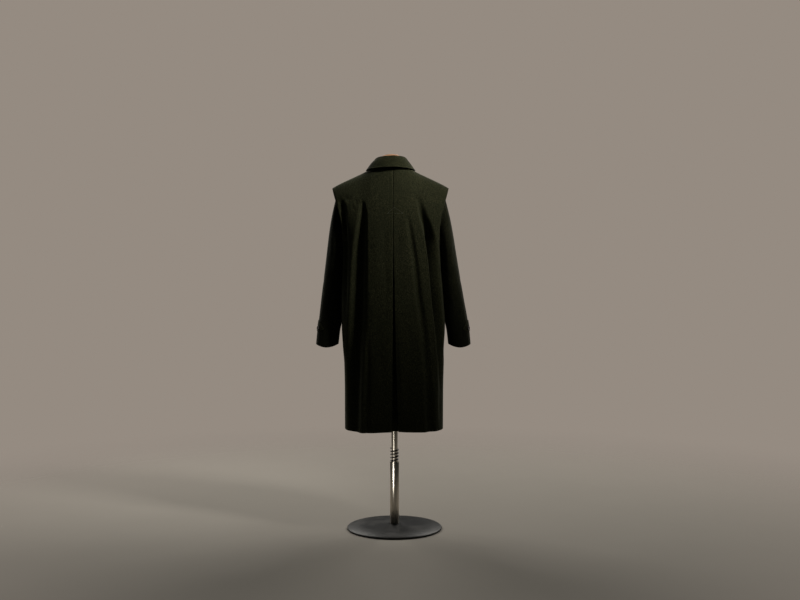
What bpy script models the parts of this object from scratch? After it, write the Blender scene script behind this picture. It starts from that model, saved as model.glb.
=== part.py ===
# A loden coat seen from behind on a limbless dress form, built as cloth walls.
# Up is +Z, the coat's back faces +Y, and the wearer's left is +X.
import math

import bmesh
import bpy
import numpy as np
from mathutils import Matrix, Vector

for old in list(bpy.data.objects):
    bpy.data.objects.remove(old)

# Cloth
CLOTH = 0.002
GAP = 0.0003
HALF_SEAM = 0.0002

# Body heights
HEM = 0.430
UNDERARM = 1.190
TIP_Z = 1.444
TIP_X = 0.2475
TIP_ANGLE = 62.0
BACK_ROUND = 0.64
FRONT_ROUND = 0.85
HEM_DIP = {1: 0.008, -1: 0.004}
HEM_DIP_AT = 0.45
HEM_DIP_WIDTH = 0.33

# Neckline
NECK_X = 0.078
NECK_Y = 0.005
NECK_BACK = 0.067
NECK_FRONT = 0.088
NECK_END_ANGLE = 55.0
NECK_SPREAD = 1.4
NECK_SOFT = 2.0
NECK_SHARP = 12
SHOULDER_FORWARD = 1.8

# Back pleat
PLEAT_FOLD = 0.0032
PLEAT_OPEN = {1: 0.0045, -1: 0.0215}
PLEAT_FLARE = 1.6
TACK_Z = 1.341
PLEAT_TOP = 1.500
PLEAT_RUN = 1.070
PLEAT_SINK = 0.003
PLEAT_SINK_GROWS = 0.026
RETURN_TOP = 0.018
RETURN_GROWS = 0.034
RETURN_ARC = 0.33

# Body sections: height, half width, back depth, front depth, angle where the panel ends
BODY = np.array([
    (0.430, 0.2068, 0.165, 0.150, 90.0),
    (0.580, 0.2075, 0.161, 0.148, 90.0),
    (0.740, 0.2118, 0.154, 0.144, 90.0),
    (0.870, 0.2185, 0.148, 0.141, 90.0),
    (1.000, 0.2140, 0.141, 0.136, 90.0),
    (1.100, 0.2075, 0.135, 0.131, 90.0),
    (1.190, 0.2050, 0.131, 0.127, 90.0),
    (1.240, 0.2040, 0.131, 0.125, 74.0),
    (1.300, 0.2085, 0.132, 0.122, 64.0),
    (1.346, 0.2190, 0.133, 0.119, 62.0),
    (1.390, 0.2325, 0.131, 0.116, 62.0),
    (1.405, 0.2370, 0.130, 0.115, 62.0),
    (1.444, 0.2475, 0.128, 0.112, 62.0),
])

# Top line of the back and of the front: distance from the middle, height
BACK_TOP = np.array([
    (0.000, 1.5400), (0.030, 1.5395), (0.055, 1.5360), (0.078, 1.5285), (0.104, 1.5120),
    (0.150, 1.4910), (0.198, 1.4690), (0.225, 1.4560), (0.2475, 1.4435),
])
FRONT_TOP = np.array([
    (0.000, 1.4720), (0.030, 1.4780), (0.055, 1.4950), (0.070, 1.5150), (0.078, 1.5285),
    (0.104, 1.5120), (0.150, 1.4910), (0.198, 1.4690), (0.225, 1.4560), (0.2475, 1.4435),
])

# Sideways lean of the whole coat: height, shift of its sides. It fades towards the middle.
LEAN_FADE = 0.09
LEAN = np.array([
    (0.430, -0.0030), (0.700, -0.0030), (0.770, 0.0000), (0.860, 0.0000), (0.980, 0.0036),
    (1.266, 0.0100), (1.444, 0.0120), (1.600, 0.0105),
])

# Folds: height, start and end from the middle, depth, how far out the deepest line lies
LEFT_DEEP = np.array([
    (0.430, 0.128, 0.200, 0.018, 1.00), (0.600, 0.124, 0.202, 0.028, 1.10), (0.720, 0.118, 0.200, 0.037, 1.20),
    (0.870, 0.097, 0.190, 0.043, 1.30), (0.980, 0.0935, 0.180, 0.043, 1.30), (1.130, 0.0925, 0.168, 0.037, 1.10),
    (1.230, 0.093, 0.156, 0.029, 1.00), (1.320, 0.094, 0.140, 0.018, 0.90), (1.385, 0.104, 0.130, 0.000, 1.00),
])
LEFT_SIDE = np.array([
    (0.870, 0.190, 0.210, 0.000, 1.00), (1.000, 0.180, 0.210, 0.008, 1.00), (1.180, 0.178, 0.209, 0.014, 1.00),
    (1.290, 0.175, 0.224, 0.022, 1.20), (1.345, 0.178, 0.228, 0.013, 1.00), (1.400, 0.190, 0.228, 0.000, 1.00),
])
LEFT_SOFT = np.array([
    (0.430, 0.078, 0.130, 0.007, 1.60), (0.670, 0.082, 0.122, 0.005, 1.60), (0.850, 0.086, 0.108, 0.000, 1.60),
])
RIGHT_DEEP = np.array([
    (0.430, 0.184, 0.202, 0.000, 1.00), (0.770, 0.174, 0.208, 0.014, 1.10), (0.910, 0.163, 0.207, 0.042, 1.10),
    (0.980, 0.158, 0.205, 0.056, 1.10), (1.127, 0.148, 0.200, 0.058, 1.10), (1.200, 0.139, 0.194, 0.048, 1.10),
    (1.270, 0.122, 0.178, 0.030, 1.10), (1.320, 0.110, 0.158, 0.020, 1.00), (1.400, 0.100, 0.132, 0.000, 1.00),
])
RIGHT_SOFT = np.array([
    (0.430, 0.124, 0.176, 0.012, 1.10), (0.770, 0.108, 0.156, 0.012, 1.10), (0.980, 0.086, 0.131, 0.013, 1.10),
    (1.130, 0.076, 0.116, 0.011, 1.10), (1.230, 0.064, 0.101, 0.008, 1.10), (1.345, 0.050, 0.080, 0.000, 1.00),
])
FRONT_SOFT = np.array([
    (0.430, 0.105, 0.175, 0.020, 1.00), (0.800, 0.100, 0.160, 0.016, 1.00), (1.100, 0.090, 0.130, 0.008, 1.00),
    (1.300, 0.090, 0.120, 0.000, 1.00),
])
FOLD_FADE = 0.10
BACK_FOLDS = {1: [LEFT_DEEP, LEFT_SIDE, LEFT_SOFT], -1: [RIGHT_DEEP, RIGHT_SOFT]}

# Panel columns from the middle to the side. The named ones follow the edges of the folds.
LEFT_COLUMNS = [
    0.0, 0.11, 0.21, 0.29, 0.33, 0.36, 0.43, 0.48, 0.53, 0.59, 0.65, 0.72, 0.79, 0.85, 0.90, 0.95, 1.0,
]
RIGHT_COLUMNS = [
    0.0, 0.11, 0.20, 0.25, 0.30, 0.33, 0.36, 0.43, 0.49, 0.55, 0.61, 0.67, 0.73, 0.79, 0.86, 0.93, 1.0,
]
NECK_COLUMN = 0.36
LEFT_FOLLOWS = [(NECK_COLUMN, None, 0), (0.43, "deep", 1), (0.79, "deep", 2)]
RIGHT_FOLLOWS = [(0.20, "soft", 1), (NECK_COLUMN, "soft", 2), (0.43, "deep", 1), (0.79, "deep", 2)]
FRONT_COLUMNS = [
    -0.13, -0.065, 0.0, 0.08, 0.16, 0.22, 0.2684, 0.34, 0.42, 0.51, 0.61, 0.72, 0.82, 0.91, 1.0,
]
LOW_ROWS = 12
TOP_ROWS = 9
NEAR_MIDDLE = 0.070
FARTHEST = 0.985
UNDERLAP = 0.15
UNDERLAP_END = 0.32
NECK_EASE = 0.0014

# Sleeve rings: outer point x, z, inner point x, z, half depth, middle y
SLEEVE = np.array([
    (0.3290, 0.783, 0.2330, 0.783, 0.0500, -0.010),
    (0.3245, 0.838, 0.2270, 0.838, 0.0515, -0.018),
    (0.3180, 0.884, 0.2190, 0.884, 0.0540, -0.026),
    (0.3045, 0.980, 0.2130, 0.970, 0.0610, -0.036),
    (0.2925, 1.060, 0.2094, 1.045, 0.0670, -0.036),
    (0.2808, 1.140, 0.2064, 1.115, 0.0720, -0.034),
    (0.2720, 1.200, 0.2056, 1.165, 0.0730, -0.026),
    (0.2645, 1.250, 0.2050, 1.199, 0.0670, -0.018),
    (0.2545, 1.305, 0.2045, 1.214, 0.0530, -0.007),
    (0.2440, 1.352, 0.1990, 1.222, 0.0390, 0.000),
    (0.2345, 1.392, 0.1945, 1.226, 0.0320, 0.000),
    (0.2290, 1.420, 0.1920, 1.229, 0.0350, 0.000),
    (0.2270, 1.444, 0.1900, 1.230, 0.0410, 0.000),
])
CUFF_DIP = 0.014
HEAD_COLUMN = 0.93
HEAD_CLEAR = 0.016
HEAD_GAP = 0.0015
BACK_SEAM = 40.0
FRONT_SEAM = -95.0
SEAM_STEP = 0.0004
SLEEVE_STEP = 15.0
TAB_MIDDLE = 0.86

# Collar
STAND_LIFT = 0.0006
STAND_FRONT_LIFT = 0.0035
STAND_TOP_X = 0.0635
STAND_TOP_BACK = 0.060
STAND_TOP_FRONT = 0.076
COLLAR_END = 167.0
FALL_ROLL = 0.0042
FALL_BULGE = 0.004
COLLAR = np.array([
    # Angle from the middle of the back, stand's top, fall's lower edge, its half width, its depth
    (0.0, 1.5690, 1.5235, 0.1045, 0.096), (45.0, 1.5665, 1.5205, 0.1045, 0.096),
    (90.0, 1.5555, 1.5180, 0.1050, 0.098), (112.0, 1.5450, 1.5195, 0.1050, 0.105),
    (132.0, 1.5320, 1.5120, 0.1045, 0.114), (167.0, 1.5060, 1.4720, 0.1060, 0.129),
])

# Dress form
STAND_X = -0.005
TORSO = np.array([
    # Height, half width, back depth, front depth
    (0.800, 0.150, 0.098, 0.090), (0.950, 0.152, 0.100, 0.094), (1.080, 0.142, 0.092, 0.088),
    (1.190, 0.158, 0.094, 0.100), (1.300, 0.172, 0.094, 0.098), (1.400, 0.176, 0.088, 0.084),
    (1.460, 0.173, 0.082, 0.076), (1.490, 0.170, 0.078, 0.072),
])
TORSO_NECK = 0.056
TORSO_NECK_DEPTH = 0.048
TORSO_TOP = 1.480
SEAT = 0.0007
CAP_RADIUS = 0.047
CAP_TOP = 1.586
CAP_SHIFT = 0.0095
POLE_RADIUS = 0.013
POLE_IN_TUBE = 0.120
TUBE_RADIUS = 0.019
TUBE_TOP = 0.284
SPRING_TOP = 0.342
SPRING_WIRE = 0.0025
SPRING_COIL = 0.0159
SPRING_TURNS = 4.0
BASE_RADIUS = 0.200
BASE_HEIGHT = 0.020

# Buttons
FRONT_BUTTON = 0.0125
FRONT_BUTTON_HEIGHTS = [1.430, 1.300, 1.170, 1.040, 0.910]
CUFF_BUTTON = 0.0085
BUTTON_DEPTH = 0.0038
CUFF_BUTTON_ANGLE = 34.0
CUFF_BUTTON_Z = 0.850
CUFF_BUTTON_LIFT = 0.0011


def make_material(name, colour, roughness, metallic):
    material = bpy.data.materials.new(name)
    material.use_nodes = True
    shader = material.node_tree.nodes["Principled BSDF"]
    shader.inputs["Base Color"].default_value = (*colour, 1.0)
    shader.inputs["Roughness"].default_value = roughness
    shader.inputs["Metallic"].default_value = metallic
    return material


LODEN = make_material("loden", (0.022, 0.024, 0.012), 0.95, 0.0)
HORN = make_material("horn_button", (0.035, 0.020, 0.018), 0.35, 0.0)
LINEN = make_material("form_cover", (0.45, 0.38, 0.28), 0.9, 0.0)
COPPER = make_material("neck_cap", (0.60, 0.30, 0.16), 0.35, 0.6)
STEEL = make_material("pole_steel", (0.55, 0.52, 0.47), 0.28, 1.0)
SPRING_STEEL = make_material("spring_black", (0.02, 0.02, 0.02), 0.45, 0.6)
PAINT = make_material("base_paint", (0.03, 0.03, 0.03), 0.5, 0.0)


def curve(table, column, at):
    """A smooth line through one column of a table whose first column rises."""
    keys = table[:, 0]
    values = table[:, column]
    at = float(min(max(at, keys[0]), keys[-1]))
    i = int(min(max(np.searchsorted(keys, at) - 1, 0), len(keys) - 2))
    span = keys[i + 1] - keys[i]
    slope = (values[i + 1] - values[i]) / span
    before = (values[i] - values[i - 1]) / (keys[i] - keys[i - 1]) if i > 0 else slope
    last = i + 2 >= len(keys)
    after = slope if last else (values[i + 2] - values[i + 1]) / (keys[i + 2] - keys[i + 1])
    start = 0.0 if before * slope <= 0 else 2 * before * slope / (before + slope)
    end = 0.0 if after * slope <= 0 else 2 * after * slope / (after + slope)
    t = (at - keys[i]) / span
    low = values[i] * (1 + 2 * t) * (1 - t) ** 2 + start * span * t * (1 - t) ** 2
    return low + values[i + 1] * t * t * (3 - 2 * t) - end * span * t * t * (1 - t)


def ease(t):
    t = min(max(t, 0.0), 1.0)
    return t * t * (3 - 2 * t)


def settle(point):
    """Leans the sides of the worn coat a little, as they hang."""
    x, y, z = point
    return (x + curve(LEAN, 1, z) * ease(abs(x) / LEAN_FADE), y, z)


def pleat_lip(z, side):
    return HALF_SEAM + PLEAT_OPEN[side] * max(0.0, (TACK_Z - z) / (TACK_Z - HEM)) ** PLEAT_FLARE


def body_point(s, row, face, side, middle):
    """The bare section surface: s runs from the middle to the side, row from hem 0 to top 2."""
    top_share = math.sin(math.radians(TIP_ANGLE * s)) / math.sin(math.radians(TIP_ANGLE))
    top_x = abs(TIP_X * top_share)
    top_z = curve(BACK_TOP if face > 0 else FRONT_TOP, 1, top_x)
    neck = max(0.0, 1 - (top_x / NECK_X) ** 2)
    top_y = NECK_Y + face * (NECK_BACK if face > 0 else NECK_FRONT) * math.sqrt(neck)
    if top_x > NECK_X:
        top_y = NECK_Y * (1 - SHOULDER_FORWARD * (top_x - NECK_X) / (TIP_X - NECK_X))
    share = min(top_x / (NECK_SOFT * NECK_X), 1.0)
    soft_y = face * (NECK_BACK if face > 0 else NECK_FRONT) * math.cos(math.pi / 2 * share) ** 2
    sharp = max(0.0, row - 1) ** NECK_SHARP
    top_y = soft_y * (1 - sharp) + top_y * sharp
    hem = HEM
    if face > 0 and row < 1:
        low = math.exp(-((s - HEM_DIP_AT) / HEM_DIP_WIDTH) ** 2)
        hem -= HEM_DIP[side] * low * max(0.0, 1 - row) ** 2
    if row <= 1:
        z = hem + (UNDERARM - hem) * row
        edge_z = z
        drop = 1.0
        lift = 0.0
    else:
        end = NECK_END_ANGLE + (90 - NECK_END_ANGLE) * ease(top_x / (NECK_SPREAD * NECK_X))
        angle = math.radians(end * (row - 1))
        last = math.radians(end)
        z = UNDERARM + (top_z - UNDERARM) * math.sin(angle) / math.sin(last)
        edge_z = UNDERARM + (TIP_Z - UNDERARM) * math.sin(math.radians(90 * (row - 1)))
        drop = (math.cos(angle) - math.cos(last)) / (1 - math.cos(last))
        lift = 1 - drop
    half = curve(BODY, 1, edge_z)
    depth = curve(BODY, 2 if face > 0 else 3, edge_z)
    bend = math.radians(curve(BODY, 4, edge_z))
    across = math.sin(bend * s) / math.sin(bend)
    x = middle + (half - middle) * across
    round_off = math.cos(bend * s)
    y = math.copysign(abs(round_off) ** (BACK_ROUND if face > 0 else FRONT_ROUND), round_off)
    return np.array((side * x, face * depth * y * drop + top_y * lift, z))


def fold_depth(folds, s, point, row):
    """How far the cloth is drawn in at one point by the large folds."""
    x = abs(point[0])
    z = point[2]
    total = 0.0
    for table in folds:
        if z >= table[-1, 0]:
            continue
        start = curve(table, 1, z)
        end = curve(table, 2, z)
        depth = curve(table, 3, z)
        shape = curve(table, 4, z)
        t = (x - start) / (end - start)
        if 0 < t < 1:
            total += depth * 0.5 * (1 - math.cos(2 * math.pi * t ** shape))
    return total * ease((1 - s) / FOLD_FADE)


def out_of(s, row, face, side, middle):
    """The outward direction of the bare section surface."""
    step = 0.004
    low_s, high_s = (body_point(s + d, row, face, side, middle) for d in (-step, step))
    low_r, high_r = (body_point(s, row + d, face, side, middle) for d in (-step, step))
    out = np.cross(high_s - low_s, high_r - low_r) * side * -face
    return out / np.linalg.norm(out)


def follow(c, row, side):
    """The place along a section of one panel column, which runs beside the large folds."""
    folds = {"deep": LEFT_DEEP} if side > 0 else {"deep": RIGHT_DEEP, "soft": RIGHT_SOFT}
    z = body_point(0.5, row, 1, side, 0.01)[2]
    edge_z = z
    if row > 1:
        edge_z = UNDERARM + (TIP_Z - UNDERARM) * math.sin(math.radians(90 * (min(row, 2) - 1)))
    half = curve(BODY, 1, edge_z)
    bend = math.radians(curve(BODY, 4, edge_z))
    keys, places = [0.0], [0.0]
    for key, fold, column in (LEFT_FOLLOWS if side > 0 else RIGHT_FOLLOWS):
        x = NEAR_MIDDLE if fold is None else curve(folds[fold], column, z)
        high = max(0.0, row - 1) ** 3
        if key == NECK_COLUMN:
            x = x * (1 - high) + NECK_X * high
        keys.append(key)
        places.append(math.asin(min(x / half, FARTHEST) * math.sin(bend)) / bend)
    return float(np.interp(c, keys + [1.0], places + [1.0])) if c <= 1 else c


def back_point(s, row, side):
    """A point of the back panel's outer face. Below s = 0 it turns in as the pleat's return."""
    z = body_point(0, row, 1, side, 0.01)[2]
    middle = pleat_lip(z, side) + PLEAT_FOLD
    if s >= 0:
        s = follow(s, row, side)
        base = body_point(s, row, 1, side, middle)
        out = out_of(s, row, 1, side, middle)
        return base - out * fold_depth(BACK_FOLDS[side], s, base, row)
    base = body_point(0, row, 1, side, middle)
    out = out_of(0, row, 1, side, middle)
    inward = np.array((side, 0.0, 0.0))
    if s > -1:
        turn = math.pi * -s
        sink = out * (1 - math.cos(turn)) + inward * math.sin(turn)
        return base - sink * PLEAT_FOLD
    share = -s - 1
    around = share * pleat_reach(z) / RETURN_ARC
    here = body_point(around, row, 1, side, middle)
    here_out = out_of(around, row, 1, side, middle)
    sink = pleat_depth(z) * share ** 2
    return here - here_out * (2 * PLEAT_FOLD + sink)


def pleat_reach(z):
    return RETURN_TOP + RETURN_GROWS * ease((PLEAT_TOP - z) / PLEAT_RUN)


def pleat_depth(z):
    return PLEAT_SINK + PLEAT_SINK_GROWS * ease((PLEAT_TOP - z) / PLEAT_RUN)


def front_point(s, row, side):
    base = body_point(s, row, -1, side, 0.0)
    out = out_of(s, row, -1, side, 0.0)
    inset = fold_depth([FRONT_SOFT], max(s, 0.0), base, row)
    if side < 0:
        deep = CLOTH + 2 * GAP + NECK_EASE * ease((row - 1.4) / 0.5)
        inset += deep * (1 - ease((s - UNDERLAP) / (UNDERLAP_END - UNDERLAP)))
    return base - out * inset


def underlay_point(s, row, side):
    z = body_point(0, row, 1, 1, 0.01)[2]
    middle = pleat_lip(z, side) + PLEAT_FOLD
    around = s * pleat_reach(z) / RETURN_ARC
    base = body_point(around, row, 1, side, middle)
    out = out_of(around, row, 1, side, middle)
    point = base - out * (2 * PLEAT_FOLD + pleat_depth(z) + 2 * GAP)
    return point - np.array((side * middle * (1 - s), 0.0, 0.0))


def grid_of(point, columns, rows):
    """Points with one more row and column all round, for the directions at the edges."""
    wide = [2 * columns[0] - columns[1], *columns, 2 * columns[-1] - columns[-2]]
    tall = [2 * rows[0] - rows[1], *rows, 2 * rows[-1] - rows[-2]]
    return np.array([[point(s, r) for s in wide] for r in tall])


def wall_parts(grid, flip):
    """The outer points of a wall, and the outward direction at each."""
    across = grid[1:-1, 2:] - grid[1:-1, :-2]
    up = grid[2:, 1:-1] - grid[:-2, 1:-1]
    out = np.cross(across, up) * flip
    out /= np.linalg.norm(out, axis=2)[:, :, None]
    return grid[1:-1, 1:-1], out


def add_object(name, mesh, material):
    mesh.materials.append(material)
    item = bpy.data.objects.new(name, mesh)
    bpy.context.collection.objects.link(item)
    return item


def mesh_of(name, points, faces):
    mesh = bpy.data.meshes.new(name)
    mesh.from_pydata([settle(p) for p in points], [], faces)
    work = bmesh.new()
    work.from_mesh(mesh)
    bmesh.ops.remove_doubles(work, verts=work.verts, dist=0.00002)
    bmesh.ops.recalc_face_normals(work, faces=work.faces)
    work.to_mesh(mesh)
    work.free()
    return mesh


def add_wall(name, outer, out, material):
    """A closed cloth wall between a grid of outer points and the same points moved in."""
    rows, columns = outer.shape[:2]
    inner = outer - out * CLOTH
    points = np.concatenate([outer.reshape(-1, 3), inner.reshape(-1, 3)])
    back = rows * columns
    faces = []
    for r in range(rows - 1):
        for c in range(columns - 1):
            a = r * columns + c
            faces.append((a, a + 1, a + columns + 1, a + columns))
            faces.append((a + back, a + back + columns, a + back + columns + 1, a + back + 1))
    edge = list(range(columns))
    edge += [r * columns + columns - 1 for r in range(1, rows)]
    edge += [(rows - 1) * columns + c for c in range(columns - 2, -1, -1)]
    edge += [r * columns for r in range(rows - 2, 0, -1)]
    for a, b in zip(edge, edge[1:] + edge[:1]):
        faces.append((a, a + back, b + back, b))
    return add_object(name, mesh_of(name, points, faces), material)


BODY_ROWS = [i / LOW_ROWS for i in range(LOW_ROWS)]
BODY_ROWS += [1 + i / TOP_ROWS for i in range(TOP_ROWS + 1)]
RETURN_COLUMNS = [-2.0, -1.6, -1.25, -1.0, -0.75, -0.5, -0.25]

# The two back panels, each folded in at the middle as one side of the pleat
for side, name in ((1, "back_left"), (-1, "back_right")):
    columns = RETURN_COLUMNS + (LEFT_COLUMNS if side > 0 else RIGHT_COLUMNS)
    grid = grid_of(lambda s, r: back_point(s, r, side), columns, BODY_ROWS)
    grid[:, :, 1] += HALF_SEAM
    outer, out = wall_parts(grid, -side)
    add_wall(name, outer, out, LODEN)

# The strip behind the pleat, which joins its two returns
def underlay_across(s, row):
    return underlay_point(abs(s), row, 1 if s >= 0 else -1)


grid = grid_of(underlay_across, [i / 4 for i in range(-4, 5)], BODY_ROWS)
outer, out = wall_parts(grid, -1)
add_wall("pleat_underlay", outer, out, LODEN)

# The two fronts, left over right
for side, name in ((1, "front_left"), (-1, "front_right")):
    grid = grid_of(lambda s, r: front_point(s, r, side), FRONT_COLUMNS, BODY_ROWS)
    grid[:, :, 1] -= HALF_SEAM
    outer, out = wall_parts(grid, side)
    add_wall(name, outer, out, LODEN)


def sleeve_point(angle, ring, side):
    """A point of the sleeve's outer face. Angle 0 is its outer line and 90 its back."""
    keys = np.column_stack([np.arange(len(SLEEVE)), SLEEVE])
    ox, oz, ix, iz, depth, mid_y = (curve(keys, c, ring) for c in range(1, 7))
    turn = math.radians(angle)
    x = (ox + ix) / 2 + (ox - ix) / 2 * math.cos(turn)
    z = (oz + iz) / 2 + (oz - iz) / 2 * math.cos(turn)
    z -= CUFF_DIP * math.sin(turn) ** 2 * max(0.0, 1 - ring)
    point = np.array((side * x, mid_y + depth * math.sin(turn), z))
    last = len(SLEEVE) - 1
    if ring > last - 1:
        share = ease((155 - abs(angle)) / 45) * min(1.0, ring - last + 1)
        face = 1 if angle >= 0 else -1
        row = 2 - 0.95 * min(abs(angle), 175) / 180
        under = body_point(HEAD_COLUMN, row, face, side, 0.0)
        clear = CLOTH + HEAD_GAP + HEAD_CLEAR * ease((1.94 - row) / 0.30)
        under -= out_of(HEAD_COLUMN, row, face, side, 0.0) * clear
        point = point * (1 - share) + under * share
    return point


# The sleeves, each of a top and an under piece with a back and a front seam
SLEEVE_RINGS = list(range(len(SLEEVE)))
for side, word in ((1, "left"), (-1, "right")):
    spans = (("top_sleeve_", FRONT_SEAM, BACK_SEAM), ("under_sleeve_", BACK_SEAM, FRONT_SEAM + 360))
    for name, start, end in spans:
        angles = list(np.arange(start, end + 1, SLEEVE_STEP))

        def turned(angle, ring):
            pull = math.degrees(SEAM_STEP / SLEEVE[int(min(max(ring, 0), len(SLEEVE) - 1)), 4])
            angle += pull if angle == start else -pull if angle == end else 0.0
            angle = angle - 360 if angle > 180 else angle
            if ring < 0 or ring > len(SLEEVE) - 1:
                near = 0 if ring < 0 else len(SLEEVE) - 1
                inside = 1 if ring < 0 else len(SLEEVE) - 2
                return 2 * sleeve_point(angle, near, side) - sleeve_point(angle, inside, side)
            return sleeve_point(angle, ring, side)
        outer, out = wall_parts(grid_of(turned, angles, SLEEVE_RINGS), side)
        add_wall(name + word, outer, out, LODEN)


def cuff_point(angle, z, side):
    rows = SLEEVE[:3]
    ox = np.interp(z, rows[:, 1], rows[:, 0])
    ix = np.interp(z, rows[:, 3], rows[:, 2])
    depth = np.interp(z, rows[:, 1], rows[:, 4])
    middle = np.interp(z, rows[:, 1], rows[:, 5])
    turn = math.radians(angle)
    across = (ox + ix) / 2 + (ox - ix) / 2 * math.cos(turn)
    return np.array((side * across, middle + depth * math.sin(turn), z))


def cuff_surface(angle, z, side):
    """A point of the lower sleeve and the outward direction there."""
    around = cuff_point(angle + 1, z, side) - cuff_point(angle - 1, z, side)
    up = cuff_point(angle, z + 0.001, side) - cuff_point(angle, z - 0.001, side)
    out = np.cross(around, up) * side
    return cuff_point(angle, z, side), out / np.linalg.norm(out)


# The pointed cuff tabs, which lie on the sleeves
TAB = np.array([
    # Angle round the sleeve, lower edge, upper edge
    (-40.0, 0.842, 0.880), (-15.0, 0.841, 0.882), (5.0, 0.840, 0.884), (22.0, 0.838, 0.884),
    (36.0, 0.838, 0.876), (50.0, 0.840, 0.864), (62.0, 0.843, 0.853), (66.0, 0.846, 0.850),
])
TAB_LIFT = 0.0006
for side, word in ((1, "left"), (-1, "right")):
    def tab_point(step, share):
        step = min(max(step, 0.0), len(TAB) - 1.0)
        angle, low, high = (np.interp(step, range(len(TAB)), TAB[:, c]) for c in range(3))
        point, out = cuff_surface(angle, low + (high - low) * share, side)
        return point + out * (CLOTH + TAB_LIFT)
    steps = [i / 2 for i in range(2 * len(TAB) - 1)]
    grid = np.array([[tab_point(s, r) for s in steps] for r in (0.0, 0.5, 1.0)])
    out = np.array([[cuff_surface(np.interp(s, range(len(TAB)), TAB[:, 0]), TAB_MIDDLE, side)[1]
                     for s in steps] for _ in range(3)])
    add_wall("cuff_tab_" + word, grid, out, LODEN)


def neck_point(angle):
    """The neckline at an angle from the middle of the back."""
    turn = math.radians(angle)
    x = NECK_X * math.sin(turn)
    back = math.cos(turn) >= 0
    y = NECK_Y + (NECK_BACK if back else NECK_FRONT) * math.cos(turn)
    z = curve(BACK_TOP if back else FRONT_TOP, 1, abs(x))
    return np.array((x, y, z))


def fold_line(angle):
    turn = math.radians(angle)
    depth = STAND_TOP_BACK if math.cos(turn) >= 0 else STAND_TOP_FRONT
    x = STAND_TOP_X * math.sin(turn)
    return np.array((x, NECK_Y + depth * math.cos(turn), curve(COLLAR, 1, abs(angle))))


def fall_edge(angle):
    turn = math.radians(angle)
    x = curve(COLLAR, 3, abs(angle)) * math.sin(turn)
    y = NECK_Y + (curve(COLLAR, 4, abs(angle)) - NECK_Y) * math.cos(turn)
    low = curve(COLLAR, 2, abs(angle))
    return np.array((x, y, low))


def stand_point(angle, share):
    lift = STAND_LIFT + STAND_FRONT_LIFT * ease((abs(angle) - 30) / 50)
    low = neck_point(angle) + np.array((0, 0, lift))
    return low + (fold_line(angle) - low) * share


def fall_point(angle, share):
    """Share runs over the roll from 0 to 1, then down the fall to 2."""
    turn = math.radians(angle)
    away = np.array((math.sin(turn), math.cos(turn), 0.0))
    top = fold_line(angle) + np.array((0, 0, GAP))
    if share <= 1:
        bend = math.pi * share
        return top + FALL_ROLL * (away * (1 - math.cos(bend)) + np.array((0, 0, math.sin(bend))))
    start = top + away * 2 * FALL_ROLL
    low = fall_edge(angle)
    t = share - 1
    point = start + (low - start) * t
    return point + away * FALL_BULGE * math.sin(math.pi * t) * (1 - t)


STAND_ANGLES = list(np.linspace(-COLLAR_END, COLLAR_END, 25))
outer, out = wall_parts(grid_of(stand_point, STAND_ANGLES, [0, 0.33, 0.67, 1.0]), -1)
add_wall("collar_stand", outer, out, LODEN)
FALL_STEPS = [0.0, 0.2, 0.4, 0.6, 0.8, 1.0, 1.25, 1.5, 1.75, 2.0]
outer, out = wall_parts(grid_of(fall_point, STAND_ANGLES, FALL_STEPS), 1)
add_wall("collar_fall", outer, out, LODEN)


def add_disc(name, point, out, radius, depth, material):
    """A plain round button with a rolled rim, its back towards the cloth."""
    profile = [(0.0, 0.0), (radius * 0.86, 0.0), (radius, depth * 0.42), (radius * 0.93, depth),
               (radius * 0.72, depth * 0.80), (0.0, depth * 0.72)]
    work = bmesh.new()
    ring = [work.verts.new((r, 0.0, h)) for r, h in profile]
    edges = [work.edges.new(pair) for pair in zip(ring, ring[1:])]
    bmesh.ops.spin(work, geom=ring + edges, cent=(0, 0, 0), axis=(0, 0, 1),
                   angle=2 * math.pi, steps=18, use_duplicate=False)
    bmesh.ops.remove_doubles(work, verts=work.verts, dist=0.00002)
    turn = Vector(out).to_track_quat("Z", "Y").to_matrix().to_4x4()
    bmesh.ops.transform(work, matrix=Matrix.Translation(Vector(point)) @ turn, verts=work.verts)
    bmesh.ops.recalc_face_normals(work, faces=work.faces)
    mesh = bpy.data.meshes.new(name)
    work.to_mesh(mesh)
    work.free()
    return add_object(name, mesh, material)


def add_turned(name, profile, material, centre, steps):
    """A solid turned from a closed profile of radius and height."""
    work = bmesh.new()
    ring = [work.verts.new((r, 0.0, h)) for r, h in profile]
    edges = [work.edges.new(pair) for pair in zip(ring, ring[1:])]
    bmesh.ops.spin(work, geom=ring + edges, cent=(0, 0, 0), axis=(0, 0, 1),
                   angle=2 * math.pi, steps=steps, use_duplicate=False)
    bmesh.ops.remove_doubles(work, verts=work.verts, dist=0.00002)
    bmesh.ops.translate(work, vec=(centre, 0, 0), verts=work.verts)
    bmesh.ops.recalc_face_normals(work, faces=work.faces)
    mesh = bpy.data.meshes.new(name)
    work.to_mesh(mesh)
    work.free()
    return add_object(name, mesh, material)


# The front buttons, on the left front's outer face
for number, height in enumerate(FRONT_BUTTON_HEIGHTS, 1):
    row = (height - HEM) / (UNDERARM - HEM)
    if height > UNDERARM:
        share = (height - UNDERARM) / (FRONT_TOP[0, 1] - UNDERARM)
        lift = math.asin(share * math.sin(math.radians(NECK_END_ANGLE)))
        row = 1 + math.degrees(lift) / NECK_END_ANGLE
    out = out_of(0.0, row, -1, 1, 0.0)
    point = front_point(0.0, row, 1) + out * (2 * GAP) - np.array((0, HALF_SEAM, 0))
    add_disc(f"front_button_{number}", point, out, FRONT_BUTTON, BUTTON_DEPTH, HORN)

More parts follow.
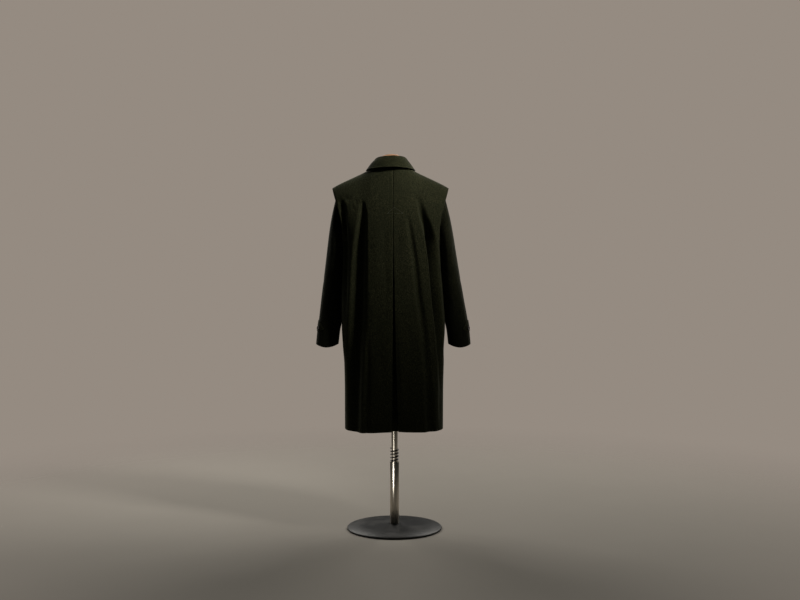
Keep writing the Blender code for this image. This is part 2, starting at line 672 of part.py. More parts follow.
# The cuff buttons, on the tabs
for side, word in ((1, "left"), (-1, "right")):
    point, out = cuff_surface(CUFF_BUTTON_ANGLE, CUFF_BUTTON_Z, side)
    point = point + out * (CLOTH + TAB_LIFT + CUFF_BUTTON_LIFT)
    add_disc("cuff_button_" + word, point, out, CUFF_BUTTON, BUTTON_DEPTH, HORN)


def torso_point(s, row, face, side):
    """The dress form inside the coat, whose shoulder ridge carries the cloth."""
    ridge_x = TORSO[-1, 1] * math.sin(math.radians(90 * s))
    slope = (curve(BACK_TOP, 1, ridge_x + 0.002) - curve(BACK_TOP, 1, ridge_x - 0.002)) / 0.004
    under = (CLOTH + SEAT) * math.sqrt(1 + slope ** 2)
    ridge_z = curve(BACK_TOP, 1, max(ridge_x, TORSO_NECK)) - under
    neck = max(0.0, 1 - (ridge_x / TORSO_NECK) ** 2)
    ridge_y = NECK_Y + face * TORSO_NECK_DEPTH * math.sqrt(neck)
    if ridge_x > NECK_X:
        ridge_y = NECK_Y * (1 - SHOULDER_FORWARD * (ridge_x - NECK_X) / (TIP_X - NECK_X))
    low = TORSO[0, 0]
    if row <= 1:
        z = low + (UNDERARM - low) * row
        edge_z = z
        drop = 1.0
    else:
        angle = math.radians(90 * (row - 1))
        z = UNDERARM + (ridge_z - UNDERARM) * math.sin(angle)
        edge_z = UNDERARM + (TORSO_TOP - UNDERARM) * math.sin(angle)
        drop = math.cos(angle)
    half = curve(TORSO, 1, edge_z)
    depth = curve(TORSO, 2 if face > 0 else 3, edge_z)
    turn = math.radians(90 * s)
    y = NECK_Y * 0.4 + face * depth * math.cos(turn)
    return (side * half * math.sin(turn), y * drop + ridge_y * (1 - drop), z)


# The torso of the form: closed rings, zipped together along the shoulder ridge
QUARTERS = (
    (1, 1, range(0, 8)), (-1, 1, range(8, 0, -1)), (-1, -1, range(0, 8)), (1, -1, range(8, 0, -1)),
)
RING = [(s / 8, face, side) for face, side, run in QUARTERS for s in run]
TORSO_ROWS = [0.0, 0.2, 0.4, 0.6, 0.8] + [1 + i / 8 for i in range(9)]
points = [torso_point(s, row, face, side) for row in TORSO_ROWS for s, face, side in RING]
count = len(RING)
faces = []
for r in range(len(TORSO_ROWS) - 1):
    for c in range(count):
        a = r * count + c
        b = r * count + (c + 1) % count
        faces.append((a, b, b + count, a + count))
faces.append(tuple(range(count)))
mesh = mesh_of("form_torso", points, faces)
work = bmesh.new()
work.from_mesh(mesh)
bmesh.ops.holes_fill(work, edges=[e for e in work.edges if e.is_boundary], sides=0)
bmesh.ops.recalc_face_normals(work, faces=work.faces)
work.to_mesh(mesh)
work.free()
add_object("form_torso", mesh, LINEN)


# The neck cap, which stands on the torso's flat neck
CAP_LOW = curve(BACK_TOP, 1, TORSO_NECK) - (CLOTH + SEAT) + GAP
CAP = [
    (0.0, CAP_LOW), (CAP_RADIUS - 0.004, CAP_LOW), (CAP_RADIUS, CAP_LOW + 0.006), (CAP_RADIUS, 1.563),
    (CAP_RADIUS * 0.95, 1.572), (CAP_RADIUS * 0.78, 1.580), (CAP_RADIUS * 0.42, 1.5845), (0.0, CAP_TOP),
]
cap = add_turned("form_neck_cap", CAP, COPPER, 0.0, 28)
for vertex in cap.data.vertices:
    vertex.co += Vector((CAP_SHIFT, NECK_Y, 0.0))

# The pole, the stand's outer tube, the spring between them and the round base
POLE_BOTTOM = TUBE_TOP - POLE_IN_TUBE
add_turned("form_pole", [(0.0, POLE_BOTTOM), (POLE_RADIUS, POLE_BOTTOM), (POLE_RADIUS, TORSO[0, 0] - GAP),
                         (0.0, TORSO[0, 0] - GAP)], STEEL, STAND_X, 24)
add_turned("form_tube", [(0.0, BASE_HEIGHT + GAP), (TUBE_RADIUS, BASE_HEIGHT + GAP), (TUBE_RADIUS, TUBE_TOP),
                         (POLE_RADIUS + GAP, TUBE_TOP), (POLE_RADIUS + GAP, POLE_BOTTOM - GAP),
                         (0.0, POLE_BOTTOM - GAP)], STEEL, STAND_X, 24)
add_turned("form_base", [(0.0, 0.0), (BASE_RADIUS - 0.002, 0.0), (BASE_RADIUS, 0.002), (BASE_RADIUS, 0.007),
                         (BASE_RADIUS - 0.004, 0.010), (0.060, 0.0165), (0.030, BASE_HEIGHT),
                         (0.0, BASE_HEIGHT)], PAINT, STAND_X, 40)

# The spring, a wire swept along its coil
coil_low = TUBE_TOP + SPRING_WIRE + GAP
coil_high = SPRING_TOP - SPRING_WIRE
STEPS = int(SPRING_TURNS * 14)
SIDES = 6
points = []
for step in range(STEPS + 1):
    turn = 2 * math.pi * SPRING_TURNS * step / STEPS
    away = Vector((math.cos(turn), math.sin(turn), 0.0))
    height = coil_low + (coil_high - coil_low) * step / STEPS
    centre = Vector((STAND_X, 0.0, height)) + away * SPRING_COIL
    for k in range(SIDES):
        around = 2 * math.pi * k / SIDES
        rise = Vector((0.0, 0.0, math.sin(around)))
        points.append(centre + SPRING_WIRE * (away * math.cos(around) + rise))
faces = []
for step in range(STEPS):
    for k in range(SIDES):
        a = step * SIDES + k
        b = step * SIDES + (k + 1) % SIDES
        faces.append((a, b, b + SIDES, a + SIDES))
faces.append(tuple(range(SIDES)))
faces.append(tuple(STEPS * SIDES + k for k in range(SIDES)))
mesh = bpy.data.meshes.new("form_spring")
mesh.from_pydata(points, [], faces)
work = bmesh.new()
work.from_mesh(mesh)
bmesh.ops.recalc_face_normals(work, faces=work.faces)
work.to_mesh(mesh)
work.free()
add_object("form_spring", mesh, SPRING_STEEL)
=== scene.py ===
import math

import bmesh
import bpy
import numpy as np
from mathutils import Matrix, Vector, noise
from mathutils.bvhtree import BVHTree


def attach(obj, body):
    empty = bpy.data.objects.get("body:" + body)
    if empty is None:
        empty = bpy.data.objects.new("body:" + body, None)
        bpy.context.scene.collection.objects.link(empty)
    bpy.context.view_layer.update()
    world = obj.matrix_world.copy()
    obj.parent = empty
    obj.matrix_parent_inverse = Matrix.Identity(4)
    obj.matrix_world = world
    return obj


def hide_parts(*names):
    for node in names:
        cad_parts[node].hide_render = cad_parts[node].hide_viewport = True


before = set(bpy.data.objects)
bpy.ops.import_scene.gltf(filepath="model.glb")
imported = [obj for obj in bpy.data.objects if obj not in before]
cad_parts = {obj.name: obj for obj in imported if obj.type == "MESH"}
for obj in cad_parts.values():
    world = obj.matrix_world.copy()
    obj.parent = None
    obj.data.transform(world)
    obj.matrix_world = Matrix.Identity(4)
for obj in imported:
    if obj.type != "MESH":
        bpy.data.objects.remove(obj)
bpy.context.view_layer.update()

# The studio: a pale floor that fades into a plain warm grey backdrop, and a lamp high on the
# camera's right, with weaker light from behind the coat and a narrow one for the pole. The camera
# looks level at the coat's back, which faces +Y.
BACKDROP = (0.300, 0.258, 0.220)
FLOOR_TONE = (0.50, 0.46, 0.41)
FLOOR_RADIUS = 9.0
FADE_START, FADE_END = 0.9, 3.4
CAMERA_PLACE = (-0.0283, 4.06, 0.969)
LENS, SENSOR = 43.0, 36.0
WARM = (1.0, 0.965, 0.90)
SHADE_TONE, SHADE_STRENGTH = (0.16, 0.22, 0.20), 0.06
LIGHTS = [
    # Name, place, what it points at, width, height, power in watts, spread in degrees
    ("key", (-1.45, 1.10, 2.65), (0.0, 0.05, 1.60), 0.4, 0.4, 3.3, 44),
    ("side_right", (-2.6, -1.2, 1.9), (0.0, 0.0, 1.2), 0.6, 1.2, 2.5, 130),
    ("side_left", (2.6, -1.2, 1.9), (0.0, 0.0, 1.2), 0.6, 1.2, 2.5, 130),
    ("front_right", (-2.0, -3.0, 3.1), (0.0, 0.4, 0.8), 2.4, 2.4, 46.0, 150),
    ("front_left", (2.0, -3.0, 3.1), (0.0, 0.4, 0.8), 2.4, 2.4, 46.0, 150),
    ("pole", (0.85, 1.60, 0.12), (-0.005, 0.0, 0.28), 0.10, 0.20, 0.026, 6),
]


def sum_of(operation, reverse=False):
    """A method of Value that joins it with another value or a number, which may stand first."""
    def joined(self, other):
        node = self.tree.nodes.new("ShaderNodeMath")
        node.operation = operation
        for place, given in enumerate((other, self) if reverse else (self, other)):
            if isinstance(given, Value):
                self.tree.links.new(given.socket, node.inputs[place])
            else:
                node.inputs[place].default_value = given
        return Value(self.tree, node.outputs[0])
    return joined


class Value:
    """One output of a material's nodes, so that sums of them are written as sums."""
    __add__, __radd__ = sum_of("ADD"), sum_of("ADD", True)
    __sub__, __rsub__ = sum_of("SUBTRACT"), sum_of("SUBTRACT", True)
    __mul__, __rmul__ = sum_of("MULTIPLY"), sum_of("MULTIPLY", True)

    def __init__(self, tree, socket):
        self.tree = tree
        self.socket = socket


class Finish:
    """A finish, made of shader nodes round one shader. Numbers that never vary sit on the shader."""

    def __init__(self, name, constants):
        self.material = bpy.data.materials.new(name)
        self.material.use_nodes = True
        self.tree = self.material.node_tree
        self.shader = self.tree.nodes["Principled BSDF"]
        for socket, number in constants.items():
            self.shader.inputs[socket].default_value = number

    def node(self, kind, settings, inputs, output=0):
        node = self.tree.nodes.new(kind)
        for name, setting in settings.items():
            if name == "stops":
                ramp = node.color_ramp
                while len(ramp.elements) < len(setting):
                    ramp.elements.new(0.5)
                for element, (position, colour) in zip(ramp.elements, setting):
                    element.position = position
                    element.color = (*colour, 1.0)
            else:
                setattr(node, name, setting)
        for name, given in inputs.items():
            if isinstance(given, Value):
                self.tree.links.new(given.socket, node.inputs[name])
            else:
                node.inputs[name].default_value = given
        return Value(self.tree, node.outputs[output])

    def object_place(self, scale=(1.0, 1.0, 1.0)):
        place = self.node("ShaderNodeTexCoord", {}, {}, "Object")
        return self.node("ShaderNodeMapping", {}, {"Vector": place, "Scale": scale})

    def noise(self, scale, detail=2.0, roughness=0.5, distortion=0.0, place=None):
        return self.node("ShaderNodeTexNoise", {}, {
            "Vector": self.object_place() if place is None else place, "Scale": scale,
            "Detail": detail, "Roughness": roughness, "Distortion": distortion}, "Fac")

    def ramp(self, factor, *stops):
        return self.node("ShaderNodeValToRGB", {"stops": stops}, {"Fac": factor}, "Color")

    def mix(self, factor, first, second):
        first, second = ((*c, 1.0) if isinstance(c, tuple) else c for c in (first, second))
        return self.node("ShaderNodeMix", {"data_type": "RGBA"},
                         {0: factor, 6: first, 7: second}, 2)

    def spread(self, value, low, high):
        """Where value lies between low and high, from 0 to 1, eased at both ends."""
        return self.node("ShaderNodeMapRange", {"interpolation_type": "SMOOTHSTEP"},
                         {"Value": value, "From Min": low, "From Max": high})

    def relief(self, height, distance, strength=1.0):
        bump = self.node("ShaderNodeBump", {}, {
            "Height": height, "Distance": distance, "Strength": strength})
        self.set("Normal", bump)

    def set(self, socket, value):
        self.tree.links.new(value.socket, self.shader.inputs[socket])


camera = bpy.data.objects.new("camera", bpy.data.cameras.new("camera"))
camera.data.lens = LENS
camera.data.sensor_width = SENSOR
camera.location = CAMERA_PLACE
camera.rotation_euler = (math.radians(90), 0.0, math.radians(180))
bpy.context.collection.objects.link(camera)
bpy.context.scene.camera = camera
bpy.context.scene.view_settings.view_transform = "Standard"

for name, place, aim, width, height, power, spread in LIGHTS:
    lamp = bpy.data.lights.new(name, "AREA")
    lamp.shape = "RECTANGLE"
    lamp.size, lamp.size_y = width, height
    lamp.energy = power
    lamp.color = WARM
    lamp.spread = math.radians(spread)
    light = bpy.data.objects.new(name, lamp)
    light.location = place
    away = Vector(place) - Vector(aim)
    light.rotation_euler = away.to_track_quat("Z", "Y").to_euler()
    bpy.context.collection.objects.link(light)

world = bpy.data.worlds.new("studio")
world.use_nodes = True
bpy.context.scene.world = world
seen = world.node_tree.nodes["Background"]
seen.inputs["Color"].default_value = (*BACKDROP, 1.0)
ambient = world.node_tree.nodes.new("ShaderNodeBackground")
ambient.inputs["Color"].default_value = (*SHADE_TONE, 1.0)
ambient.inputs["Strength"].default_value = SHADE_STRENGTH
path = world.node_tree.nodes.new("ShaderNodeLightPath")
either = world.node_tree.nodes.new("ShaderNodeMixShader")
join = world.node_tree.links.new
join(path.outputs["Is Camera Ray"], either.inputs[0])
join(ambient.outputs[0], either.inputs[1])
join(seen.outputs[0], either.inputs[2])
join(either.outputs[0], world.node_tree.nodes["World Output"].inputs[0])

work = bmesh.new()
bmesh.ops.create_circle(work, cap_ends=True, radius=FLOOR_RADIUS, segments=96)
floor_mesh = bpy.data.meshes.new("floor")
work.to_mesh(floor_mesh)
work.free()
floor = bpy.data.objects.new("floor", floor_mesh)
bpy.context.collection.objects.link(floor)

paper = Finish("floor_paper", {"Roughness": 0.85, "Specular IOR Level": 0.15})
ground = paper.object_place()
mottle = paper.noise(3.0, 4.0, place=ground)
paper.set("Base Color", paper.mix(mottle, FLOOR_TONE, tuple(0.94 * c for c in FLOOR_TONE)))
away = paper.node("ShaderNodeVectorMath", {"operation": "LENGTH"}, {0: ground}, "Value")
clear = paper.tree.nodes.new("ShaderNodeBsdfTransparent")
fading = paper.tree.nodes.new("ShaderNodeMixShader")
join = paper.tree.links.new
join(paper.spread(away, FADE_START, FADE_END).socket, fading.inputs[0])
join(paper.shader.outputs[0], fading.inputs[1])
join(clear.outputs[0], fading.inputs[2])
join(fading.outputs[0], paper.tree.nodes["Material Output"].inputs[0])
floor_mesh.materials.append(paper.material)

# The stand: a satin steel pole that slides in a wider tube on a round painted steel base, with a
# black coil spring between them. Pole, tube and base are turned, and the spring is wound wire.
STAND_X = -0.005
POLE_RADIUS, POLE_LOW, POLE_HIGH = 0.013, 0.164, 0.7997
TUBE_RADIUS, TUBE_TOP = 0.019, 0.284
SPRING_WIRE, SPRING_COIL, SPRING_TURNS, SPRING_TOP = 0.0025, 0.0159, 4.0, 0.342
STEPS_A_TURN = 48
BASE_RADIUS, BASE_HEIGHT = 0.200, 0.020
SLIDE, CLEAR = 0.0004, 0.0003
BASE_PROFILE = [
    # Radius, height
    (0.0, 0.0), (BASE_RADIUS - 0.0015, 0.0), (BASE_RADIUS, 0.0015), (BASE_RADIUS, 0.0070),
    (BASE_RADIUS - 0.004, 0.0098), (0.120, 0.0135), (0.060, 0.0163), (0.036, 0.0190),
    (0.030, BASE_HEIGHT), (0.0, BASE_HEIGHT),
]


def shown(name, work, finish, body_slot, *nodes):
    """The finished piece of a mesh in hand, riding on the stand and standing for CAD nodes."""
    mesh = bpy.data.meshes.new(name)
    for face in work.faces:
        face.smooth = True
    work.to_mesh(mesh)
    work.free()
    mesh.materials.append(finish)
    piece = bpy.data.objects.new(name, mesh)
    bpy.context.collection.objects.link(piece)
    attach(piece, "root")
    if nodes:
        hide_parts(*nodes)
    return piece


def turned(profile, centre, steps):
    """A solid of revolution about a standing axis, from a closed profile of radius and height."""
    work = bmesh.new()
    ring = [work.verts.new((r, 0.0, h)) for r, h in profile]
    edges = [work.edges.new(pair) for pair in zip(ring, ring[1:])]
    bmesh.ops.spin(work, geom=ring + edges, cent=(0, 0, 0), axis=(0, 0, 1),
                   angle=2 * math.pi, steps=steps, use_merge=True, use_duplicate=False)
    bmesh.ops.remove_doubles(work, verts=work.verts, dist=0.00001)
    bmesh.ops.recalc_face_normals(work, faces=work.faces)
    bmesh.ops.translate(work, vec=centre, verts=work.verts)
    return work


def rounded(work, width, sharper_than=35.0):
    """Rounds every edge of a turned solid that bends more than an angle, in degrees."""
    sharp = [e for e in work.edges if e.calc_face_angle(0.0) > math.radians(sharper_than)]
    bmesh.ops.bevel(work, geom=sharp, offset=width, segments=3, profile=0.5, affect="EDGES",
                    material=-1, clamp_overlap=True)
    return work


steel = Finish("satin_steel", {"Metallic": 1.0})
along = steel.object_place((1.0, 1.0, 0.02))
brushed = steel.noise(900.0, 3.0, place=along)
smears = steel.noise(26.0, 4.0, 0.6)
steel.set("Base Color", steel.mix(smears, (0.66, 0.61, 0.53), (0.54, 0.50, 0.43)))
steel.set("Roughness", 0.20 + brushed * 0.08 + smears * 0.10)
steel.relief(brushed, 0.00004)

pole = rounded(turned([(0.0, POLE_LOW), (POLE_RADIUS, POLE_LOW), (POLE_RADIUS, POLE_HIGH),
                       (0.0, POLE_HIGH)], (STAND_X, 0, 0), 72), 0.0008)
shown("stand_pole", pole, steel.material, "pole_steel", "form_pole")
tube = rounded(turned([
    (0.0, BASE_HEIGHT + CLEAR), (TUBE_RADIUS, BASE_HEIGHT + CLEAR), (TUBE_RADIUS, TUBE_TOP),
    (POLE_RADIUS + SLIDE, TUBE_TOP), (POLE_RADIUS + SLIDE, POLE_LOW - CLEAR),
    (0.0, POLE_LOW - CLEAR)], (STAND_X, 0, 0), 72), 0.0009)
shown("stand_tube", tube, steel.material, "pole_steel", "form_tube")

lacquer = Finish("black_lacquer", {"Coat Weight": 0.35, "Coat Roughness": 0.12})
scuffs = lacquer.spread(lacquer.noise(260.0, 4.0, 0.7), 0.60, 0.72)
lacquer.set("Base Color", lacquer.mix(scuffs, (0.003, 0.003, 0.0035), (0.030, 0.029, 0.027)))
lacquer.set("Roughness", 0.28 + scuffs * 0.30)
lacquer.relief(lacquer.noise(500.0), 0.00005)

work = bmesh.new()
coil_low, coil_high = TUBE_TOP + SPRING_WIRE + CLEAR, SPRING_TOP - SPRING_WIRE
bmesh.ops.create_circle(work, segments=14, radius=SPRING_WIRE,
                        matrix=Matrix.Translation((SPRING_COIL, 0, coil_low))
                        @ Matrix.Rotation(math.radians(90), 4, "X"))
wire_end = list(work.edges)
steps = int(STEPS_A_TURN * SPRING_TURNS)
bmesh.ops.spin(work, geom=list(work.verts) + wire_end, cent=(0, 0, 0), axis=(0, 0, 1),
               dvec=(0, 0, (coil_high - coil_low) / steps),
               angle=2 * math.pi * SPRING_TURNS, steps=steps, use_duplicate=False)
bmesh.ops.holes_fill(work, edges=[e for e in work.edges if e.is_boundary], sides=0)
bmesh.ops.recalc_face_normals(work, faces=work.faces)
bmesh.ops.translate(work, vec=(STAND_X, 0, 0), verts=work.verts)
shown("stand_spring", work, lacquer.material, "spring_black", "form_spring")

paint = Finish("base_paint_textured", {"Specular IOR Level": 0.4})
grains = paint.noise(1400.0)
dust = paint.spread(paint.noise(9.0, 5.0, 0.65), 0.45, 0.75)
paint.set("Base Color", paint.mix(dust * 0.6, (0.020, 0.020, 0.021), (0.060, 0.056, 0.050)))
paint.set("Roughness", 0.42 + dust * 0.22)
paint.relief(grains, 0.00012)
base = rounded(turned(BASE_PROFILE, (STAND_X, 0, 0), 160), 0.0006)
shown("stand_base", base, paint.material, "base_paint", "form_base")

# The dress form: a padded torso without limbs, covered in unbleached jersey, whose shoulder
# ridge carries the coat, and a turned copper-coloured cap on its neck. Both follow the same
# sections as the coat's shoulders, a little inside them.
CLOTH = 0.002
GAP = 0.0003
HALF_SEAM = 0.0002
HEM = 0.430
UNDERARM = 1.190
TIP_Z, TIP_X, TIP_ANGLE = 1.444, 0.2475, 62.0
NECK_X, NECK_Y, NECK_BACK, NECK_FRONT = 0.078, 0.005, 0.067, 0.088
NECK_END_ANGLE = 55.0
SHOULDER_FORWARD, LEAN_FADE = 1.8, 0.09
TORSO_NECK, TORSO_NECK_DEPTH, TORSO_TOP, SEAT = 0.056, 0.048, 1.480, 0.0007
MEASURE_STEP, TORSO_SHIFT = 0.002, 0.4
CAP_RADIUS, CAP_TOP, CAP_SHIFT = 0.047, 1.586, 0.0095
CAP_CROWN = [
    # Share of the radius, height
    (1.0, 1.563), (0.985, 1.568), (0.95, 1.572), (0.88, 1.5765), (0.78, 1.58),
    (0.62, 1.5828), (0.42, 1.5847), (0.2, 1.5857),
]
TORSO = np.array([
    # Height, half width, back depth, front depth
    (0.8, 0.15, 0.098, 0.09), (0.95, 0.152, 0.1, 0.094), (1.08, 0.142, 0.092, 0.088),
    (1.19, 0.158, 0.094, 0.1), (1.3, 0.172, 0.094, 0.098), (1.4, 0.176, 0.088, 0.084),
    (1.46, 0.173, 0.082, 0.076), (1.49, 0.17, 0.078, 0.072),
])
BACK_TOP = np.array([
    # Distance from the middle, height of the shoulder and neck line
    (0.0, 1.54), (0.03, 1.5395), (0.055, 1.536), (0.078, 1.5285), (0.104, 1.512),
    (0.15, 1.491), (0.198, 1.469), (0.225, 1.456), (0.2475, 1.4435),
])
LEAN = np.array([
    # Height, sideways shift of the coat's sides
    (0.43, -0.003), (0.7, -0.003), (0.77, 0.0), (0.86, 0.0),
    (0.98, 0.0036), (1.266, 0.01), (1.444, 0.012), (1.6, 0.0105),
])


def curve(table, column, at):
    """A smooth line through one column of a table whose first column rises."""
    keys, values = table[:, 0], table[:, column]
    at = np.clip(at, keys[0], keys[-1])
    i = np.clip(np.searchsorted(keys, at) - 1, 0, len(keys) - 2)
    slopes = np.diff(values) / np.diff(keys)
    before, after = slopes[:-1], slopes[1:]
    turns = before * after <= 0
    between = np.where(turns, 0.0, 2 * before * after / np.where(turns, 1.0, before + after))
    tangents = np.concatenate([slopes[:1], between, slopes[-1:]])
    span = keys[i + 1] - keys[i]
    t = (at - keys[i]) / span
    start = values[i] * (1 + 2 * t) * (1 - t) ** 2 + tangents[i] * span * t * (1 - t) ** 2
    return start + values[i + 1] * t * t * (3 - 2 * t) - tangents[i + 1] * span * t * t * (1 - t)


def ease(t):
    t = np.clip(t, 0.0, 1.0)
    return t * t * (3 - 2 * t)


def settled(points):
    """Leans the sides of the worn coat a little, as they hang in the photograph."""
    x, z = points[..., 0], points[..., 2]
    shift = curve(LEAN, 1, z) * ease(np.abs(x) / LEAN_FADE)
    return points + np.stack([shift, 0 * x, 0 * x], axis=-1)


def torso_point(turn, row):
    """A point of the torso. Turn is an angle from the middle of the back, row from 0 to 2."""
    face = np.where(np.cos(turn) >= 0, 1.0, -1.0)
    sine = np.abs(np.sin(turn))
    ridge_x = TORSO[-1, 1] * sine
    above, below = (curve(BACK_TOP, 1, ridge_x + sign * MEASURE_STEP) for sign in (1, -1))
    slope = (above - below) / (2 * MEASURE_STEP)
    under = (CLOTH + SEAT) * np.sqrt(1 + slope ** 2)
    ridge_z = curve(BACK_TOP, 1, np.maximum(ridge_x, TORSO_NECK)) - under
    neck = np.maximum(0.0, 1 - (ridge_x / TORSO_NECK) ** 2)
    ridge_y = NECK_Y + face * TORSO_NECK_DEPTH * np.sqrt(neck)
    out_share = (ridge_x - NECK_X) / (TIP_X - NECK_X)
    ridge_y = np.where(ridge_x > NECK_X, NECK_Y * (1 - SHOULDER_FORWARD * out_share), ridge_y)
    angle = np.radians(90 * np.maximum(row - 1, 0))
    low = TORSO[0, 0]
    z = np.where(row <= 1, low + (UNDERARM - low) * row,
                 UNDERARM + (ridge_z - UNDERARM) * np.sin(angle))
    edge_z = np.where(row <= 1, z, UNDERARM + (TORSO_TOP - UNDERARM) * np.sin(angle))
    drop = np.cos(angle)
    half = curve(TORSO, 1, edge_z)
    depth = np.where(face > 0, curve(TORSO, 2, edge_z), curve(TORSO, 3, edge_z))
    y = NECK_Y * TORSO_SHIFT + depth * np.cos(turn)
    return np.stack([half * np.sin(turn), y * drop + ridge_y * (1 - drop), z], axis=-1)


jersey = Finish("form_jersey", {"Roughness": 0.92, "Specular IOR Level": 0.2,
                                "Sheen Weight": 0.25, "Sheen Roughness": 0.5})
rib = jersey.node("ShaderNodeTexWave", {"bands_direction": "X", "wave_profile": "SIN"}, {
    "Vector": jersey.object_place((1.0, 0.6, 0.02)), "Scale": 130.0, "Distortion": 1.5}, "Fac")
stains = jersey.noise(12.0, 4.0, 0.6)
jersey.set("Base Color", jersey.mix(stains, (0.50, 0.43, 0.33), (0.40, 0.33, 0.24)))
jersey.relief(rib * 0.6 + jersey.noise(900.0) * 0.4, 0.0005)

work = bmesh.new()
bmesh.ops.create_grid(work, x_segments=128, y_segments=96, size=0.5)
unit = np.array([v.co for v in work.verts]) + 0.5
laid = settled(torso_point(2 * np.pi * unit[:, 0], 2 * unit[:, 1]))
for vertex, point in zip(work.verts, laid):
    vertex.co = point
bmesh.ops.remove_doubles(work, verts=work.verts, dist=0.0002)
bmesh.ops.holes_fill(work, edges=[e for e in work.edges if e.is_boundary], sides=0)
bmesh.ops.recalc_face_normals(work, faces=work.faces)
shown("dress_form_torso", work, jersey.material, "form_cover", "form_torso")

copper = Finish("cap_copper", {"Metallic": 0.25, "Specular IOR Level": 0.3})
tarnish = copper.noise(40.0, 5.0, 0.65)
copper.set("Base Color", copper.ramp(tarnish, (0.35, (0.62, 0.33, 0.18)),
                                     (0.62, (0.48, 0.25, 0.13))))
copper.set("Roughness", 0.42 + tarnish * 0.25)
copper.relief(copper.noise(300.0, place=copper.object_place((1.0, 1.0, 8.0))), 0.00006)
CAP_LOW = float(curve(BACK_TOP, 1, TORSO_NECK)) - (CLOTH + SEAT) + GAP
cap_foot = [(0.0, CAP_LOW), (CAP_RADIUS - 0.004, CAP_LOW), (CAP_RADIUS - 0.001, CAP_LOW + 0.002),
            (CAP_RADIUS, CAP_LOW + 0.006)]
cap_crown = [(CAP_RADIUS * share, height) for share, height in CAP_CROWN]
cap = turned(cap_foot + cap_crown + [(0.0, CAP_TOP)], (CAP_SHIFT, NECK_Y, 0.0), 96)
shown("dress_form_cap", cap, copper.material, "neck_cap", "form_neck_cap")

# The back: two panels of dark green loden, a thick fulled wool with a brushed nap, each turned
# in down the middle as one side of an inverted pleat, with a strip behind that joins them. The
# panels hang from the shoulder seams and fall in soft deep folds from the shoulder blades.
BACK_ROUND, FRONT_ROUND = 0.64, 0.85
HEM_DIP, HEM_DIP_AT, HEM_DIP_WIDTH = {1: 0.008, -1: 0.004}, 0.45, 0.33
NECK_SOFT, NECK_SPREAD, NECK_SHARP = 2.0, 1.4, 12
PLEAT_FLARE, NEAR_MIDDLE, FOLD_FADE = 1.6, 0.01, 0.10
FLAT_BY_PLEAT, STILL_SIDE, STILL_TOP = 0.04, 0.06, 0.12
SWELL_DEPTH, SWELL_SCALE, SWELL_LENGTH = 0.0012, 9.0, 0.35
PLEAT_FOLD, TACK_Z, PLEAT_TOP, PLEAT_RUN = 0.0032, 1.341, 1.5, 1.07
PLEAT_OPEN = {1: 0.0045, -1: 0.0215}
PLEAT_SINK, PLEAT_SINK_GROWS = 0.003, 0.026
RETURN_TOP, RETURN_GROWS, RETURN_ARC = 0.018, 0.034, 0.33
BODY = np.array([
    # Height, half width, back depth, front depth, angle where the panel ends
    (0.43, 0.2068, 0.165, 0.15, 90.0), (0.58, 0.2075, 0.161, 0.148, 90.0),
    (0.74, 0.2118, 0.154, 0.144, 90.0), (0.87, 0.2185, 0.148, 0.141, 90.0),
    (1.0, 0.214, 0.141, 0.136, 90.0), (1.1, 0.2075, 0.135, 0.131, 90.0),
    (1.19, 0.205, 0.131, 0.127, 90.0), (1.24, 0.204, 0.131, 0.125, 74.0),
    (1.3, 0.2085, 0.132, 0.122, 64.0), (1.346, 0.219, 0.133, 0.119, 62.0),
    (1.39, 0.2325, 0.131, 0.116, 62.0), (1.405, 0.237, 0.13, 0.115, 62.0),
    (1.444, 0.2475, 0.128, 0.112, 62.0),
])
FRONT_TOP = np.array([
    # Distance from the middle, height
    (0.0, 1.472), (0.03, 1.478), (0.055, 1.495), (0.07, 1.515), (0.078, 1.5285),
    (0.104, 1.512), (0.15, 1.491), (0.198, 1.469), (0.225, 1.456), (0.2475, 1.4435),
])
# One table a fold: height, start and end from the middle, depth, and how far its floor lies
# towards the side, where 1 is the middle.
LEFT_DEEP = np.array([
    (0.43, 0.128, 0.2, 0.018, 1.0), (0.6, 0.124, 0.202, 0.028, 1.1),
    (0.72, 0.118, 0.2, 0.037, 1.2), (0.87, 0.097, 0.19, 0.043, 1.3),
    (0.98, 0.0935, 0.18, 0.043, 1.3), (1.13, 0.0925, 0.168, 0.037, 1.1),
    (1.23, 0.093, 0.156, 0.029, 1.0), (1.32, 0.094, 0.14, 0.018, 0.9),
    (1.385, 0.104, 0.13, 0.0, 1.0),
])
LEFT_SIDE = np.array([
    (0.87, 0.19, 0.21, 0.0, 1.0), (1.0, 0.18, 0.21, 0.008, 1.0),
    (1.18, 0.178, 0.209, 0.014, 1.0), (1.29, 0.175, 0.224, 0.022, 1.2),
    (1.345, 0.178, 0.228, 0.013, 1.0), (1.4, 0.19, 0.228, 0.0, 1.0),
])
LEFT_SOFT = np.array([
    (0.43, 0.078, 0.13, 0.007, 1.6), (0.67, 0.082, 0.122, 0.005, 1.6),
    (0.85, 0.086, 0.108, 0.0, 1.6),
])
RIGHT_DEEP = np.array([
    (0.43, 0.184, 0.202, 0.0, 1.0), (0.77, 0.174, 0.208, 0.014, 1.1),
    (0.91, 0.163, 0.207, 0.042, 1.1), (0.98, 0.158, 0.205, 0.056, 1.1),
    (1.127, 0.148, 0.2, 0.058, 1.1), (1.2, 0.139, 0.194, 0.048, 1.1),
    (1.27, 0.122, 0.178, 0.03, 1.1), (1.32, 0.11, 0.158, 0.02, 1.0),
    (1.4, 0.1, 0.132, 0.0, 1.0),
])
